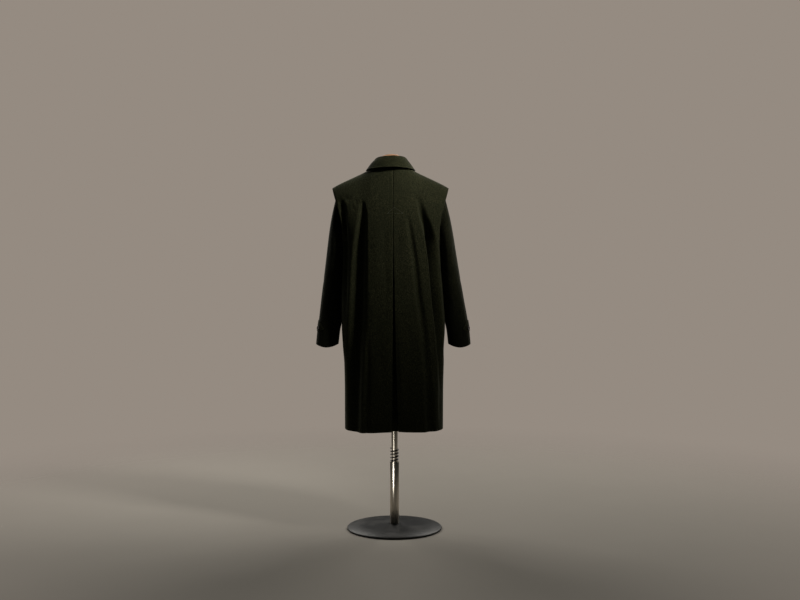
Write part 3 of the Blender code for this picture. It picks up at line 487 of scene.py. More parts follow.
RIGHT_SOFT = np.array([
    (0.43, 0.124, 0.176, 0.012, 1.1), (0.77, 0.108, 0.156, 0.012, 1.1),
    (0.98, 0.086, 0.131, 0.013, 1.1), (1.13, 0.076, 0.116, 0.011, 1.1),
    (1.23, 0.064, 0.101, 0.008, 1.1), (1.345, 0.05, 0.08, 0.0, 1.0),
])
BACK_FOLDS = {1: [LEFT_DEEP, LEFT_SIDE, LEFT_SOFT], -1: [RIGHT_DEEP, RIGHT_SOFT]}
# Small creases on the left and right back: x and height of both ends, half width, depth.
# A depth below 0 stands proud.
BACK_CREASES = {
    1: [
        (0.03, 1.325, 0.029, 0.88, 0.009, 0.0022), (0.152, 1.398, 0.131, 1.352, 0.007, 0.002),
        (0.14, 1.368, 0.118, 1.343, 0.006, -0.0016), (0.161, 1.376, 0.15, 1.335, 0.006, 0.0018),
        (0.192, 1.412, 0.17, 1.372, 0.011, 0.003), (0.06, 1.3, 0.066, 1.02, 0.012, -0.0016),
        (0.058, 0.93, 0.049, 0.47, 0.015, 0.0018), (0.088, 1.02, 0.081, 0.84, 0.008, -0.0014),
        (0.15, 1.18, 0.168, 1.01, 0.009, 0.002), (0.098, 0.64, 0.09, 0.45, 0.01, -0.0018),
        (0.132, 0.7, 0.133, 0.436, 0.005, -0.0022),
    ],
    -1: [
        (-0.028, 1.322, -0.024, 1.13, 0.01, 0.0016), (-0.098, 1.402, -0.121, 1.372, 0.008, 0.0022),
        (-0.128, 1.42, -0.16, 1.392, 0.011, -0.002), (-0.05, 1.26, -0.072, 0.96, 0.012, -0.0014),
        (-0.062, 0.9, -0.07, 0.54, 0.014, 0.002), (-0.1, 0.86, -0.112, 0.64, 0.009, -0.0018),
        (-0.176, 0.86, -0.196, 0.5, 0.006, -0.003), (-0.158, 0.83, -0.17, 0.6, 0.008, 0.0018),
        (-0.046, 0.7, -0.05, 0.44, 0.012, 0.0016), (-0.09, 0.56, -0.094, 0.44, 0.009, -0.0016),
    ],
}
RIGHT_LIP_ROLL = np.array([
    # Height, how deep the right lip of the pleat rolls in, over what width
    (0.43, 0.0075, 0.034), (0.62, 0.006, 0.026), (0.85, 0.0018, 0.016), (0.95, 0.0, 0.012),
])


def pleat_lip(z, side):
    return HALF_SEAM + PLEAT_OPEN[side] * np.maximum(0.0, (TACK_Z - z) / (TACK_Z - HEM)) ** PLEAT_FLARE


def body_point(s, row, face, side, middle):
    """The bare section surface: s runs from the middle to the side, row from hem 0 to top 2."""
    s, row = np.broadcast_arrays(np.asarray(s, float), np.asarray(row, float))
    tip_turn = math.radians(TIP_ANGLE)
    top_x = np.abs(TIP_X * np.sin(tip_turn * s) / math.sin(tip_turn))
    top_z = curve(BACK_TOP if face > 0 else FRONT_TOP, 1, top_x)
    reach = NECK_BACK if face > 0 else NECK_FRONT
    neck = np.maximum(0.0, 1 - (top_x / NECK_X) ** 2)
    ridge_y = NECK_Y * (1 - SHOULDER_FORWARD * (top_x - NECK_X) / (TIP_X - NECK_X))
    sharp_y = np.where(top_x > NECK_X, ridge_y, NECK_Y + face * reach * np.sqrt(neck))
    soft = np.cos(np.pi / 2 * np.minimum(top_x / (NECK_SOFT * NECK_X), 1.0)) ** 2
    soft_y = face * reach * soft
    sharp = np.maximum(0.0, row - 1) ** NECK_SHARP
    top_y = soft_y * (1 - sharp) + sharp_y * sharp
    dip = HEM_DIP[side] if face > 0 else 0.0
    here = np.exp(-((s - HEM_DIP_AT) / HEM_DIP_WIDTH) ** 2)
    hem = HEM - dip * here * np.maximum(0.0, 1 - row) ** 2
    outside = ease(top_x / (NECK_SPREAD * NECK_X))
    last = np.radians(NECK_END_ANGLE + (90 - NECK_END_ANGLE) * outside)
    angle = last * np.maximum(row - 1, 0.0)
    above = row > 1
    z = np.where(above, UNDERARM + (top_z - UNDERARM) * np.sin(angle) / np.sin(last),
                 hem + (UNDERARM - hem) * row)
    tip = UNDERARM + (TIP_Z - UNDERARM) * np.sin(np.radians(90 * np.maximum(row - 1, 0)))
    edge_z = np.where(above, tip, z)
    drop = np.where(above, (np.cos(angle) - np.cos(last)) / (1 - np.cos(last)), 1.0)
    half = curve(BODY, 1, edge_z)
    depth = curve(BODY, 2 if face > 0 else 3, edge_z)
    bend = np.radians(curve(BODY, 4, edge_z))
    x = middle + (half - middle) * np.sin(bend * s) / np.sin(bend)
    round_off = np.cos(bend * s)
    full = BACK_ROUND if face > 0 else FRONT_ROUND
    y = face * depth * np.sign(round_off) * np.abs(round_off) ** full * drop
    return np.stack([side * x, y + top_y * (1 - drop), z], axis=-1)


def out_of(s, row, face, side, middle):
    """The outward direction of the bare section surface."""
    step = 0.004
    ahead, behind = (body_point(s + d, row, face, side, middle) for d in (step, -step))
    above, below = (body_point(s, row + d, face, side, middle) for d in (step, -step))
    across, up = ahead - behind, above - below
    out = np.cross(across, up) * side * -face
    return out / np.linalg.norm(out, axis=-1, keepdims=True)


def fold_depth(folds, s, point):
    """How far the cloth is drawn in at each point by the large folds."""
    x, z = np.abs(point[..., 0]), point[..., 2]
    total = 0.0 * x
    for table in folds:
        start, end, depth, shape = (curve(table, c, z) for c in (1, 2, 3, 4))
        t = np.clip((x - start) / (end - start), 0.0, 1.0)
        well = 0.5 * (1 - np.cos(2 * np.pi * t ** shape))
        total += np.where(z < table[-1, 0], depth, 0.0) * well
    return total * ease((1 - s) / FOLD_FADE)


def crease_depth(creases, point):
    """How far the cloth is drawn in by the small creases, which swell and fade along their length."""
    x, z = point[..., 0], point[..., 2]
    total = 0.0 * x
    for x0, z0, x1, z1, width, depth in creases:
        run = math.hypot(x1 - x0, z1 - z0)
        ux, uz = (x1 - x0) / run, (z1 - z0) / run
        along = (x - x0) * ux + (z - z0) * uz
        off = (x - x0) * uz - (z - z0) * ux
        t = np.clip(along / run, 0.0, 1.0)
        wander = 0.35 * width * np.sin(9.0 * t + 40.0 * x0)
        swell = np.sin(np.pi * t) ** 0.8 * (0.75 + 0.25 * np.sin(17.0 * t + 60.0 * z0))
        total += depth * swell * np.exp(-((off - wander) / width) ** 2)
    return total


def uneven(point, scale, seed):
    """Slow random swells of hanging cloth, from -1 to 1, longer down the cloth than across."""
    swells = [noise.noise(Vector((x * scale, y * scale + seed, z * scale * SWELL_LENGTH)))
              for x, y, z in point.reshape(-1, 3)]
    return np.array(swells).reshape(point.shape[:-1])


def pleat_reach(z):
    return RETURN_TOP + RETURN_GROWS * ease((PLEAT_TOP - z) / PLEAT_RUN)


def pleat_depth(z):
    return PLEAT_SINK + PLEAT_SINK_GROWS * ease((PLEAT_TOP - z) / PLEAT_RUN)


def back_point(s, row, side):
    """A point of the back panel's outer face. Below s = 0 it turns in as the pleat's return."""
    z = body_point(0 * s, row, 1, side, NEAR_MIDDLE)[..., 2]
    middle = pleat_lip(z, side) + PLEAT_FOLD
    panel = np.maximum(s, 0.0)
    base = body_point(panel, row, 1, side, middle)
    out = out_of(panel, row, 1, side, middle)
    draw = fold_depth(BACK_FOLDS[side], panel, base)
    small = crease_depth(BACK_CREASES[side], base) + SWELL_DEPTH * uneven(base, SWELL_SCALE, side)
    loose = ease((1 - panel) / STILL_SIDE) * ease((2 - row) / STILL_TOP)
    draw += small * loose * ease(panel / FLAT_BY_PLEAT)
    mid_out = out_of(0 * s, row, 1, side, middle)
    lip = body_point(0 * s, row, 1, side, middle)
    if side < 0:
        roll, width = curve(RIGHT_LIP_ROLL, 1, z), curve(RIGHT_LIP_ROLL, 2, z)
        draw += roll * (1 - ease((np.abs(base[..., 0]) - middle) / width)) ** 2
        lip = lip - mid_out * roll[..., None]
    point = base - out * draw[..., None]
    turn = (math.pi * np.clip(-s, 0.0, 1.0))[..., None]
    inward = np.array((side, 0.0, 0.0))
    rolled = lip - (mid_out * (1 - np.cos(turn)) + inward * np.sin(turn)) * PLEAT_FOLD
    share = np.clip(-s - 1, 0.0, 1.0)
    around = share * pleat_reach(z) / RETURN_ARC
    here = body_point(around, row, 1, side, middle)
    here_out = out_of(around, row, 1, side, middle)
    sink = 2 * PLEAT_FOLD + pleat_depth(z) * share ** 2
    if side < 0:
        sink = sink + roll * (1 - share)
    returned = here - here_out * sink[..., None]
    return np.where((s >= 0)[..., None], point, np.where((s > -1)[..., None], rolled, returned))


def underlay_point(s, row):
    """The strip behind the pleat: s runs from -1 to 1 across it."""
    side = np.where(s >= 0, 1.0, -1.0)
    z = body_point(0 * s, row, 1, 1, NEAR_MIDDLE)[..., 2]
    middle = np.where(s >= 0, pleat_lip(z, 1), pleat_lip(z, -1)) + PLEAT_FOLD
    around = np.abs(s) * pleat_reach(z) / RETURN_ARC
    base = body_point(around, row, 1, 1, middle)
    out = out_of(around, row, 1, 1, middle)
    point = base - out * (2 * PLEAT_FOLD + pleat_depth(z) + 2 * GAP)[..., None]
    point[..., 0] = (point[..., 0] - middle * (1 - np.abs(s))) * side
    return point


STITCH_MARK = 0.0022


def loden(name, press, depth=1.0):
    """Fulled wool in a dark green mixture. Its nap lies down the piece, its cut edges are worn, and
    a row of stitches runs at the distance press from them."""
    # Every colour is scaled by depth; a depth below 1 darkens the wool as painted shade.
    def shade(*tone):
        return tuple(depth * c for c in tone)
    wool = Finish(name, {"Specular IOR Level": 0.12, "Sheen Weight": 0.10,
                         "Sheen Roughness": 0.45, "Sheen Tint": (0.62, 0.66, 0.45, 1.0)})
    length = wool.node("ShaderNodeUVMap", {"uv_map": "cloth"}, {})
    place = wool.object_place()
    nap_place = wool.node("ShaderNodeMapping", {}, {"Vector": length, "Scale": (1.0, 0.28, 1.0)})
    nap = wool.noise(1100.0, 3.0, 0.6, 0.6, place=nap_place)
    tufts = wool.noise(260.0, 3.0, 0.6, 0.5, place=nap_place)
    flecks = wool.noise(640.0, 2.0, 0.55, place=place)
    flocks = wool.noise(300.0, 2.0, 0.7, place=place)
    clouds = wool.noise(11.0, 4.0, 0.6, place=place)
    twill = wool.node("ShaderNodeTexWave", {"bands_direction": "DIAGONAL"}, {
        "Vector": length, "Scale": 210.0, "Distortion": 1.2, "Detail": 1.0}, "Fac")
    tone = wool.ramp(flocks * 0.50 + flecks * 0.25 + tufts * 0.25,
                     (0.40, shade(0.0040, 0.0050, 0.0018)), (0.50, shade(0.0165, 0.0182, 0.0072)),
                     (0.60, shade(0.0450, 0.0440, 0.0205)))
    faded = wool.mix(wool.spread(clouds, 0.35, 0.70) * 0.45, tone, shade(0.0138, 0.0156, 0.0066))
    edge = wool.node("ShaderNodeAttribute", {"attribute_name": "edge"}, {}, "Fac")
    worn = (1.0 - wool.spread(edge, 0.0005, 0.0045)) * wool.spread(tufts, 0.38, 0.62)
    wool.set("Base Color", wool.mix(worn * 0.5, faded, shade(0.0520, 0.0510, 0.0280)))
    wool.set("Roughness", 0.86 + flecks * 0.12)
    rising = wool.spread(edge, press - STITCH_MARK, press)
    stitched = rising * (1.0 - wool.spread(edge, press, press + STITCH_MARK))
    fuzz = nap * 0.35 + tufts * 0.30 + flocks * 0.25 + twill * 0.08
    wool.relief(fuzz - stitched * 0.5, 0.0012, 0.9)
    return wool.material


SLEEVE_OUT, RIM = 0.16, 0.0005


def ruled(marks, parts):
    """Marks with parts equal steps between each pair."""
    marks = np.asarray(marks, float)
    return np.interp(np.arange((len(marks) - 1) * parts + 1) / parts, np.arange(len(marks)), marks)


def cloth_piece(node, place, columns, rows, finish):
    """One cut piece of cloth: a grid laid by place(column, row), with its thickness inside it."""
    work = bmesh.new()
    bmesh.ops.create_grid(work, x_segments=len(columns) - 1, y_segments=len(rows) - 1, size=0.5)
    unit = np.array([v.co for v in work.verts]).reshape(len(rows), len(columns), 3) + 0.5
    s = np.interp(unit[..., 0] * (len(columns) - 1), np.arange(len(columns)), columns)
    r = np.interp(unit[..., 1] * (len(rows) - 1), np.arange(len(rows)), rows)
    laid = settled(place(s, r))
    for vertex, point in zip(work.verts, laid.reshape(-1, 3)):
        vertex.co = point
    across = np.linalg.norm(np.diff(laid, axis=1, prepend=laid[:, :1]), axis=2).cumsum(axis=1)
    along = np.linalg.norm(np.diff(laid, axis=0, prepend=laid[:1]), axis=2).cumsum(axis=0)
    edge = np.minimum(np.minimum(across, across[:, -1:] - across),
                      np.minimum(along, along[-1:] - along)).reshape(-1)
    work.normal_update()
    middle = float(laid[..., 0].mean())
    centre = Vector((middle if abs(middle) > SLEEVE_OUT else 0.0, 0.0, 0.0))
    level = Matrix.Diagonal((1.0, 1.0, 0.0))
    outward = sum(f.normal.dot(level @ (f.calc_center_median() - centre)) * f.calc_area()
                  for f in work.faces)
    if outward < 0:
        bmesh.ops.reverse_faces(work, faces=work.faces)
    piece = shown("coat_" + node, work, finish, "loden", node)
    mesh = piece.data
    corner = np.empty(len(mesh.loops), int)
    mesh.loops.foreach_get("vertex_index", corner)
    metres = np.column_stack([across.reshape(-1), along.reshape(-1)])[corner]
    mesh.uv_layers.new(name="cloth").data.foreach_set("uv", metres.reshape(-1).astype(np.float32))
    worn = mesh.attributes.new("edge", "FLOAT", "POINT")
    worn.data.foreach_set("value", edge.astype(np.float32))
    wall = piece.modifiers.new("thickness", "SOLIDIFY")
    wall.thickness = CLOTH
    wall.offset = -1.0
    rim = piece.modifiers.new("rim", "BEVEL")
    rim.width, rim.segments, rim.limit_method = RIM, 2, "ANGLE"
    rim.angle_limit = math.radians(60)
    return piece


SIDES = ((1, "left"), (-1, "right"))
LODEN_BACK = loden("loden_back", 0.0400)
BODY_ROWS = np.concatenate([np.linspace(0.0, 1.0, 121)[:-1], np.linspace(1.0, 2.0, 73)])
BACK_COLUMNS = np.concatenate([
    np.linspace(-2.0, -1.0, 13)[:-1], np.linspace(-1.0, 0.0, 13)[:-1],
    np.linspace(0.0, 0.04, 7)[:-1], np.linspace(0.04, 1.0, 112)])
half_backs = {}
for side, word in SIDES:
    def half_back(s, r, side=side):
        return back_point(s, r, side) + (0.0, HALF_SEAM, 0.0)
    half_backs[word] = cloth_piece("back_" + word, half_back, BACK_COLUMNS, BODY_ROWS, LODEN_BACK)
cloth_piece("pleat_underlay", underlay_point, np.linspace(-1, 1, 41), BODY_ROWS, LODEN_BACK)

# The fronts: two plain panels, the left lapped over the right, closed by five horn buttons. They
# aren't seen in the photograph and are finished plainly, with the soft fold of a worn coat.
UNDERLAP, UNDERLAP_END, OVERLAP, NECK_EASE = 0.15, 0.32, 0.13, 0.0014
NECK_EASE_ROW, NECK_EASE_SPAN, PLAIN_EDGE, PLAIN_EDGE_FADE = 1.4, 0.5, 0.14, 0.08
FRONT_SOFT = np.array([
    (0.43, 0.105, 0.175, 0.02, 1.0), (0.8, 0.1, 0.16, 0.016, 1.0),
    (1.1, 0.09, 0.13, 0.008, 1.0), (1.3, 0.09, 0.12, 0.0, 1.0),
])
# Small creases of the left and right front, as those of the back.
FRONT_CREASES = {
    1: [(0.12, 1.42, 0.15, 1.33, 0.01, 0.0022), (0.06, 1.0, 0.07, 0.62, 0.014, 0.002),
        (0.14, 1.22, 0.17, 1.15, 0.009, 0.002), (0.01, 0.88, 0.05, 0.83, 0.008, -0.0014)],
    -1: [(-0.125, 1.41, -0.15, 1.34, 0.01, 0.0022), (-0.07, 0.95, -0.08, 0.56, 0.014, 0.002),
         (-0.145, 1.23, -0.172, 1.16, 0.009, 0.002), (-0.06, 1.29, -0.09, 1.2, 0.009, -0.0014)],
}


def front_point(s, row, side):
    base = body_point(s, row, -1, side, 0.0)
    out = out_of(s, row, -1, side, 0.0)
    inset = fold_depth([FRONT_SOFT], np.maximum(s, 0.0), base)
    small = crease_depth(FRONT_CREASES[side], base) + SWELL_DEPTH * uneven(base, SWELL_SCALE, 5 * side)
    loose = ease((1 - s) / STILL_SIDE) * ease((2 - row) / STILL_TOP)
    inset = inset + small * (loose * ease((s - PLAIN_EDGE) / PLAIN_EDGE_FADE))
    if side < 0:
        deep = CLOTH + 2 * GAP + NECK_EASE * ease((row - NECK_EASE_ROW) / NECK_EASE_SPAN)
        inset = inset + deep * (1 - ease((s - UNDERLAP) / (UNDERLAP_END - UNDERLAP)))
    return base - out * inset[..., None]


for side, word in SIDES:
    def half_front(s, r, side=side):
        return front_point(s, r, side) - (0.0, HALF_SEAM, 0.0)
    cloth_piece("front_" + word, half_front, np.linspace(-OVERLAP, 1.0, 121), BODY_ROWS,
                LODEN_BACK)

# The sleeves: a top and an under piece each, joined by a back and a front seam, and set in
# beneath the shoulder, which hangs over them. They hang almost straight, with slack creases at
# the elbow and above the cuff.
SLEEVE = np.array([
    # Ring, outer point x, z, inner point x, z, half depth, middle y
    (0, 0.329, 0.783, 0.233, 0.783, 0.05, -0.01), (1, 0.3245, 0.838, 0.227, 0.838, 0.0515, -0.018),
    (2, 0.318, 0.884, 0.219, 0.884, 0.054, -0.026), (3, 0.3045, 0.98, 0.213, 0.97, 0.061, -0.036),
    (4, 0.2925, 1.06, 0.2094, 1.045, 0.067, -0.036), (5, 0.2808, 1.14, 0.2064, 1.115, 0.072, -0.034),
    (6, 0.272, 1.2, 0.2056, 1.165, 0.073, -0.026), (7, 0.2645, 1.25, 0.205, 1.199, 0.067, -0.018),
    (8, 0.2545, 1.305, 0.2045, 1.214, 0.053, -0.007), (9, 0.244, 1.352, 0.199, 1.222, 0.039, 0.0),
    (10, 0.2345, 1.392, 0.1945, 1.226, 0.032, 0.0), (11, 0.229, 1.42, 0.192, 1.229, 0.035, 0.0),
    (12, 0.227, 1.444, 0.19, 1.23, 0.041, 0.0),
])
CUFF_DIP = 0.014
HEAD_COLUMN, HEAD_CLEAR, HEAD_GAP = 0.93, 0.016, 0.0015
HEAD_ROWS, HEAD_RAISED, HEAD_RAISED_SPAN = 0.95, 1.94, 0.30
BACK_SEAM, FRONT_SEAM, SEAM_STEP = 40.0, -95.0, 0.00018
SLEEVE_ROUND, COLUMN_DEGREES = 0.055, 2.5
# Creases of a sleeve: angle and height of both ends, half width in metres, depth.
SLEEVE_CREASES = [
    (-60, 1.075, 20, 1.04, 0.01, 0.0022), (60, 1.085, 110, 1.05, 0.009, 0.0022),
    (20, 1.01, 95, 0.985, 0.011, 0.0018), (-80, 0.985, -10, 1.0, 0.01, 0.0016),
    (50, 0.94, 130, 0.915, 0.009, 0.0018), (-30, 0.925, 40, 0.912, 0.008, -0.0012),
    (70, 1.18, 80, 1.06, 0.009, -0.0018), (95, 1.0, 105, 0.86, 0.009, -0.0016),
    (110, 1.16, 150, 1.12, 0.009, 0.002), (30, 1.22, 60, 1.15, 0.009, 0.0018),
]
SEAM_RIDGE, SEAM_RIDGE_AT, SEAM_RIDGE_WIDTH = 0.0007, 0.0022, 0.0042
# The sleeves read darker than the body, so their wool colours are darkened to this share of the
# body's: painted shade, not a darker cloth.
SLEEVE_PAINTED_SHADE = 0.54


def sleeve_point(angle, ring, side):
    """A point of the sleeve's outer face. Angle 0 is its outer line and 90 its back."""
    angle = np.where(angle > 180, angle - 360, angle)
    ox, oz, ix, iz, depth, mid_y = (curve(SLEEVE, c, ring) for c in range(1, 7))
    turn = np.radians(angle)
    half_x, half_z = (ox - ix) / 2, (oz - iz) / 2
    z = (oz + iz) / 2 + half_z * np.cos(turn)
    z = z - CUFF_DIP * np.sin(turn) ** 2 * np.maximum(0.0, 1 - ring)
    unrolled = np.stack([np.radians(angle) * SLEEVE_ROUND, 0 * z, z], axis=-1)
    creases = [(math.radians(a0) * SLEEVE_ROUND, z0, math.radians(a1) * SLEEVE_ROUND, z1, *size)
               for a0, z0, a1, z1, *size in SLEEVE_CREASES]
    sink = crease_depth(creases, unrolled)
    last = len(SLEEVE) - 1
    sink *= ease((ring - 2.2) / 0.8) * ease((last - 2.5 - ring) / 2)
    for seam in (BACK_SEAM, FRONT_SEAM):
        off = np.abs(np.radians(angle - seam)) * depth
        ridge = np.exp(-((off - SEAM_RIDGE_AT) / SEAM_RIDGE_WIDTH) ** 2)
        sink -= SEAM_RIDGE * ridge * ease((last - 1.5 - ring) / 2)
    x = (ox + ix) / 2 + (half_x - sink) * np.cos(turn)
    point = np.stack([side * x, mid_y + (depth - sink) * np.sin(turn), z], axis=-1)
    share = ease((155 - np.abs(angle)) / 45) * np.clip(ring - last + 1, 0.0, 1.0)
    row = 2 - HEAD_ROWS * np.minimum(np.abs(angle), 175) / 180
    for face, chosen in ((1, angle >= 0), (-1, angle < 0)):
        clear = CLOTH + HEAD_GAP + HEAD_CLEAR * ease((HEAD_RAISED - row) / HEAD_RAISED_SPAN)
        under = body_point(HEAD_COLUMN, row, face, side, 0.0)
        under = under - out_of(HEAD_COLUMN, row, face, side, 0.0) * clear[..., None]
        mixed = point * (1 - share[..., None]) + under * share[..., None]
        point = np.where((chosen & (share > 0))[..., None], mixed, point)
    return point


# The sleeves' wool: the same loden as the body, with all its colours darkened as painted shade.
LODEN_SLEEVE_PAINTED_SHADE = loden("loden_sleeve_painted_shade", 0.0060, SLEEVE_PAINTED_SHADE)
SLEEVE_RINGS = ruled(range(len(SLEEVE)), 9)
pull = math.degrees(SEAM_STEP / SLEEVE_ROUND)
sleeve_pieces = (
    # Name, first and last angle, flat size, area
    ("top_sleeve_", FRONT_SEAM, BACK_SEAM, (0.152, 0.685), 0.079),
    ("under_sleeve_", BACK_SEAM, FRONT_SEAM + 360, (0.392, 0.668), 0.110),
)
for side, word in SIDES:
    def sleeve_wall(a, r, side=side):
        return sleeve_point(a, r, side)
    for name, start, end, flat, area in sleeve_pieces:
        angles = np.linspace(start + pull, end - pull, int((end - start) / COLUMN_DEGREES) + 1)
        cloth_piece(name + word, sleeve_wall, angles, SLEEVE_RINGS, LODEN_SLEEVE_PAINTED_SHADE)

# The cuff tabs: short pointed straps that lie on the sleeves, each held by one horn button and
# edge-stitched all round.
TAB = np.array([
    # Angle round the sleeve, lower edge, upper edge
    (-40.0, 0.842, 0.88), (-15.0, 0.841, 0.882), (5.0, 0.84, 0.884), (22.0, 0.838, 0.884),
    (36.0, 0.838, 0.876), (50.0, 0.84, 0.864), (62.0, 0.843, 0.853), (66.0, 0.846, 0.85),
])
TAB_LIFT = 0.0006


def cuff_point(angle, z, side):
    rows = SLEEVE[:3]
    ox, ix = np.interp(z, rows[:, 2], rows[:, 1]), np.interp(z, rows[:, 4], rows[:, 3])
    depth, middle = np.interp(z, rows[:, 2], rows[:, 5]), np.interp(z, rows[:, 2], rows[:, 6])
    turn = np.radians(angle)
    across = (ox + ix) / 2 + (ox - ix) / 2 * np.cos(turn)
    return np.stack([side * across, middle + depth * np.sin(turn), z + 0 * turn], axis=-1)


def cuff_surface(angle, z, side):
    """A point of the lower sleeve and the outward direction there."""
    around = cuff_point(angle + 1, z, side) - cuff_point(angle - 1, z, side)
    up = cuff_point(angle, z + 0.001, side) - cuff_point(angle, z - 0.001, side)
    out = np.cross(around, up) * side
    return cuff_point(angle, z, side), out / np.linalg.norm(out, axis=-1, keepdims=True)


LODEN_TAB = loden("loden_tab", 0.0040)
for side, word in SIDES:
    def tab_point(angle, share, side=side):
        low, high = curve(TAB, 1, angle), curve(TAB, 2, angle)
        point, out = cuff_surface(angle, low + (high - low) * share, side)
        return point + out * (CLOTH + TAB_LIFT)
    tab_angles = np.concatenate([np.linspace(-40, 50, 46)[:-1], np.linspace(50, 66, 17)])
    cloth_piece("cuff_tab_" + word, tab_point, tab_angles, np.linspace(0, 1, 21), LODEN_TAB)

# The collar: a stand that rises from the neckline, hidden inside, and a fall that rolls over it
# and lies down on the shoulders. Its edge is stitched.
STAND_LIFT, STAND_FRONT_LIFT = 0.0006, 0.0035
STAND_TOP_X, STAND_TOP_BACK, STAND_TOP_FRONT = 0.0635, 0.060, 0.076
COLLAR_END, FALL_ROLL, FALL_BULGE = 167.0, 0.0042, 0.004
COLLAR = np.array([
    # Angle from the middle of the back, stand's top, fall's lower edge, its half width, its depth
    (0.0, 1.569, 1.5235, 0.1045, 0.096), (45.0, 1.5665, 1.5205, 0.1045, 0.096),
    (90.0, 1.5555, 1.518, 0.105, 0.098), (112.0, 1.545, 1.5195, 0.105, 0.105),
    (132.0, 1.532, 1.512, 0.1045, 0.114), (167.0, 1.506, 1.472, 0.106, 0.129),
])


def neck_point(turn):
    """The neckline at an angle from the middle of the back."""
    x = NECK_X * np.sin(turn)
    back = np.cos(turn) >= 0
    y = NECK_Y + np.where(back, NECK_BACK, NECK_FRONT) * np.cos(turn)
    z = np.where(back, curve(BACK_TOP, 1, np.abs(x)), curve(FRONT_TOP, 1, np.abs(x)))
    return np.stack([x, y, z], axis=-1)


def fold_line(angle):
    turn = np.radians(angle)
    depth = np.where(np.cos(turn) >= 0, STAND_TOP_BACK, STAND_TOP_FRONT)
    return np.stack([STAND_TOP_X * np.sin(turn), NECK_Y + depth * np.cos(turn),
                     curve(COLLAR, 1, np.abs(angle))], axis=-1)


def stand_point(angle, share):
    lift = STAND_LIFT + STAND_FRONT_LIFT * ease((np.abs(angle) - 30) / 50)
    low = neck_point(np.radians(angle))
    low[..., 2] += lift
    return low + (fold_line(angle) - low) * share[..., None]


def fall_point(angle, share):
    """Share runs over the roll from 0 to 1, then down the fall to 2."""
    turn = np.radians(angle)
    away = np.stack([np.sin(turn), np.cos(turn), 0 * turn], axis=-1)
    up = np.array((0.0, 0.0, 1.0))
    top = fold_line(angle) + up * GAP
    bend = (math.pi * np.clip(share, 0, 1))[..., None]
    rolled = top + FALL_ROLL * (away * (1 - np.cos(bend)) + up * np.sin(bend))
    size = np.abs(angle)
    low = np.stack([curve(COLLAR, 3, size) * np.sin(turn),
                    NECK_Y + (curve(COLLAR, 4, size) - NECK_Y) * np.cos(turn),
                    curve(COLLAR, 2, size)], axis=-1)
    start = top + away * 2 * FALL_ROLL
    t = np.clip(share - 1, 0, 1)[..., None]
    fallen = start + (low - start) * t + away * FALL_BULGE * np.sin(math.pi * t) * (1 - t)
    return np.where((share <= 1)[..., None], rolled, fallen)


LODEN_COLLAR = loden("loden_collar", 0.0060)
collar_angles = np.linspace(-COLLAR_END, COLLAR_END, 181)
cloth_piece("collar_stand", stand_point, collar_angles, np.linspace(0, 1, 17), LODEN_COLLAR)
fall_steps = np.concatenate([np.linspace(0, 1, 17)[:-1], np.linspace(1, 2, 33)])
cloth_piece("collar_fall", fall_point, collar_angles, fall_steps, LODEN_COLLAR)

# The horn buttons: turned discs with a raised rim, sewn on with waxed thread. Five close the
# front and one holds each cuff tab.
FRONT_BUTTON, FRONT_BUTTON_HEIGHTS = 0.0125, [1.430, 1.300, 1.170, 1.040, 0.910]
CUFF_BUTTON, CUFF_BUTTON_ANGLE, CUFF_BUTTON_Z, CUFF_BUTTON_LIFT = 0.0085, 34.0, 0.850, 0.0011
BUTTON_DEPTH = 0.0038
BUTTON_PROFILE = [
    # Shares of the radius and of the depth
    (0.0, 0.0), (0.8, 0.0), (0.92, 0.12), (1.0, 0.42), (0.985, 0.78), (0.93, 0.98), (0.86, 1.0),
    (0.78, 0.9), (0.7, 0.62), (0.55, 0.56), (0.3, 0.58), (0.0, 0.6),
]
horn = Finish("horn", {"Coat Weight": 0.35, "Coat Roughness": 0.18})
grain = horn.noise(160.0, 4.0, 0.6, 1.5, place=horn.object_place((1.0, 1.0, 3.5)))
horn.set("Base Color", horn.ramp(grain, (0.34, (0.012, 0.007, 0.007)),
                                 (0.52, (0.04, 0.022, 0.02)), (0.68, (0.11, 0.064, 0.048))))
horn.set("Roughness", 0.26 + grain * 0.18)
horn.relief(horn.noise(900.0), 0.00004)
thread = Finish("sewing_thread", {"Roughness": 0.62, "Sheen Weight": 0.2})
ply = thread.noise(1500.0)
thread.set("Base Color", thread.mix(ply, (0.10, 0.095, 0.060), (0.17, 0.16, 0.11)))
thread.relief(ply, 0.0001)


def button(name, point, out, radius):
    """One button on the cloth at a point, facing out, with the two strands that hold it."""
    profile = [(radius * across, BUTTON_DEPTH * up) for across, up in BUTTON_PROFILE]
    work = turned(profile, (0, 0, 0), 56)
    turn = Vector(out).to_track_quat("Z", "Y").to_matrix().to_4x4()
    onto = Matrix.Translation(Vector(point)) @ turn
    bmesh.ops.transform(work, matrix=onto, verts=work.verts)
    shown("coat_" + name, work, horn.material, "horn_button", name)
    strands = bmesh.new()
    for sign in (1, -1):
        across = Matrix.Translation((0.0, sign * radius * 0.17, BUTTON_DEPTH * 0.60))
        shape = Matrix.Diagonal((radius * 0.26, radius * 0.085, BUTTON_DEPTH * 0.16, 1.0))
        bmesh.ops.create_uvsphere(strands, u_segments=12, v_segments=8, radius=1.0,
                                  matrix=onto @ across @ shape)
    shown("coat_" + name + "_thread", strands, thread.material, "horn_button")


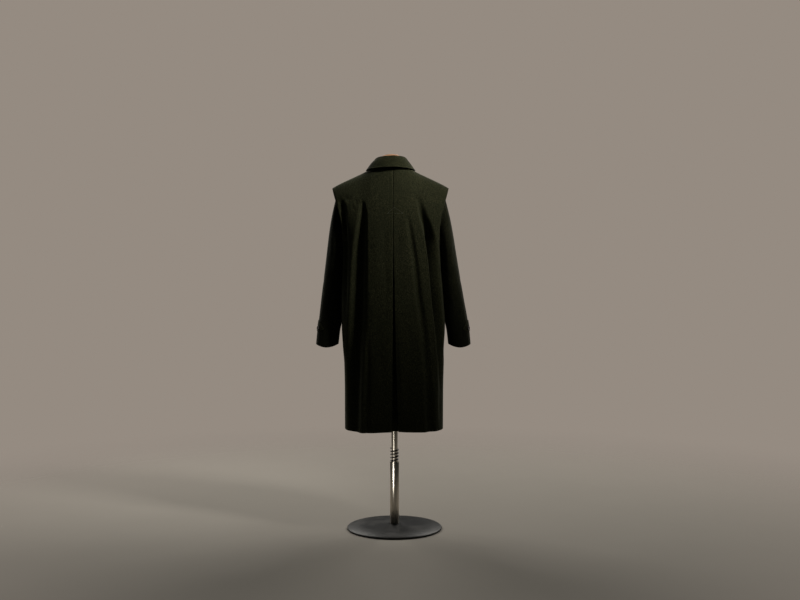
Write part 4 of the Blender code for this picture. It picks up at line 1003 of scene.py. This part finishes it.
for number, height in enumerate(FRONT_BUTTON_HEIGHTS, 1):
    row = (height - HEM) / (UNDERARM - HEM)
    if height > UNDERARM:
        share = (height - UNDERARM) / (FRONT_TOP[0, 1] - UNDERARM)
        lift = math.asin(share * math.sin(math.radians(NECK_END_ANGLE)))
        row = 1 + math.degrees(lift) / NECK_END_ANGLE
    middle = np.array(0.0)
    out = out_of(middle, row, -1, 1, 0.0)
    point = front_point(middle, np.array(row), 1) + out * (2 * GAP) - (0, HALF_SEAM, 0)
    button(f"front_button_{number}", point, out, FRONT_BUTTON)
for side, word in SIDES:
    point, out = cuff_surface(np.array(CUFF_BUTTON_ANGLE), CUFF_BUTTON_Z, side)
    point = point + out * (CLOTH + TAB_LIFT + CUFF_BUTTON_LIFT)
    button("cuff_button_" + word, point, out, CUFF_BUTTON)

# The tack of the back pleat: a triangle of thick thread sewn through all layers, which holds the
# pleat shut above it. Each stitch is its own short strand, laid on the cloth that it goes through.
TACK_TOP, TACK_LEFT, TACK_RIGHT = (-0.0050, 1.3520), (0.0228, 1.3262), (-0.0406, 1.3262)
TACK_LINES = ((TACK_TOP, TACK_LEFT), (TACK_LEFT, TACK_RIGHT), (TACK_RIGHT, TACK_TOP))
STITCH, STITCH_GAP, STRAND, STRAND_RISE = 0.0042, 0.0012, 0.00065, 0.3
BEHIND_COAT = 1.0

twist = Finish("tack_thread", {"Roughness": 0.7, "Sheen Weight": 0.2})
strand = twist.noise(900.0)
twist.set("Base Color", twist.mix(strand, (0.030, 0.032, 0.014), (0.066, 0.066, 0.034)))
twist.relief(strand, 0.0001)


def sewn(name, lines, panels):
    """Rows of stitches on the outer face of standing panels, along lines of x and height."""
    graph = bpy.context.evaluated_depsgraph_get()
    trees = [BVHTree.FromObject(panel, graph) for panel in panels]

    def on_cloth(x, z):
        from_behind, inward = Vector((x, BEHIND_COAT, z)), Vector((0, -1, 0))
        hits = [tree.ray_cast(from_behind, inward)[0] for tree in trees]
        return max((hit for hit in hits if hit), key=lambda hit: hit.y)
    work = bmesh.new()
    for start, end in lines:
        count = int(math.dist(start, end) / (STITCH + STITCH_GAP))
        for i in range(count):
            shares = (i / count, (i + STITCH / (STITCH + STITCH_GAP)) / count)
            a, b = (on_cloth(*(p + (q - p) * share for p, q in zip(start, end)))
                    for share in shares)
            place = Matrix.Translation((a + b) / 2 + Vector((0, STRAND * STRAND_RISE, 0)))
            turn = (b - a).to_track_quat("X", "Y").to_matrix().to_4x4()
            size = Matrix.Diagonal(((b - a).length / 2, STRAND, STRAND, 1.0))
            bmesh.ops.create_uvsphere(work, u_segments=10, v_segments=8, radius=1.0,
                                      matrix=place @ turn @ size)
    shown(name, work, twist.material, "loden")


sewn("coat_tack_stitches", TACK_LINES, half_backs.values())
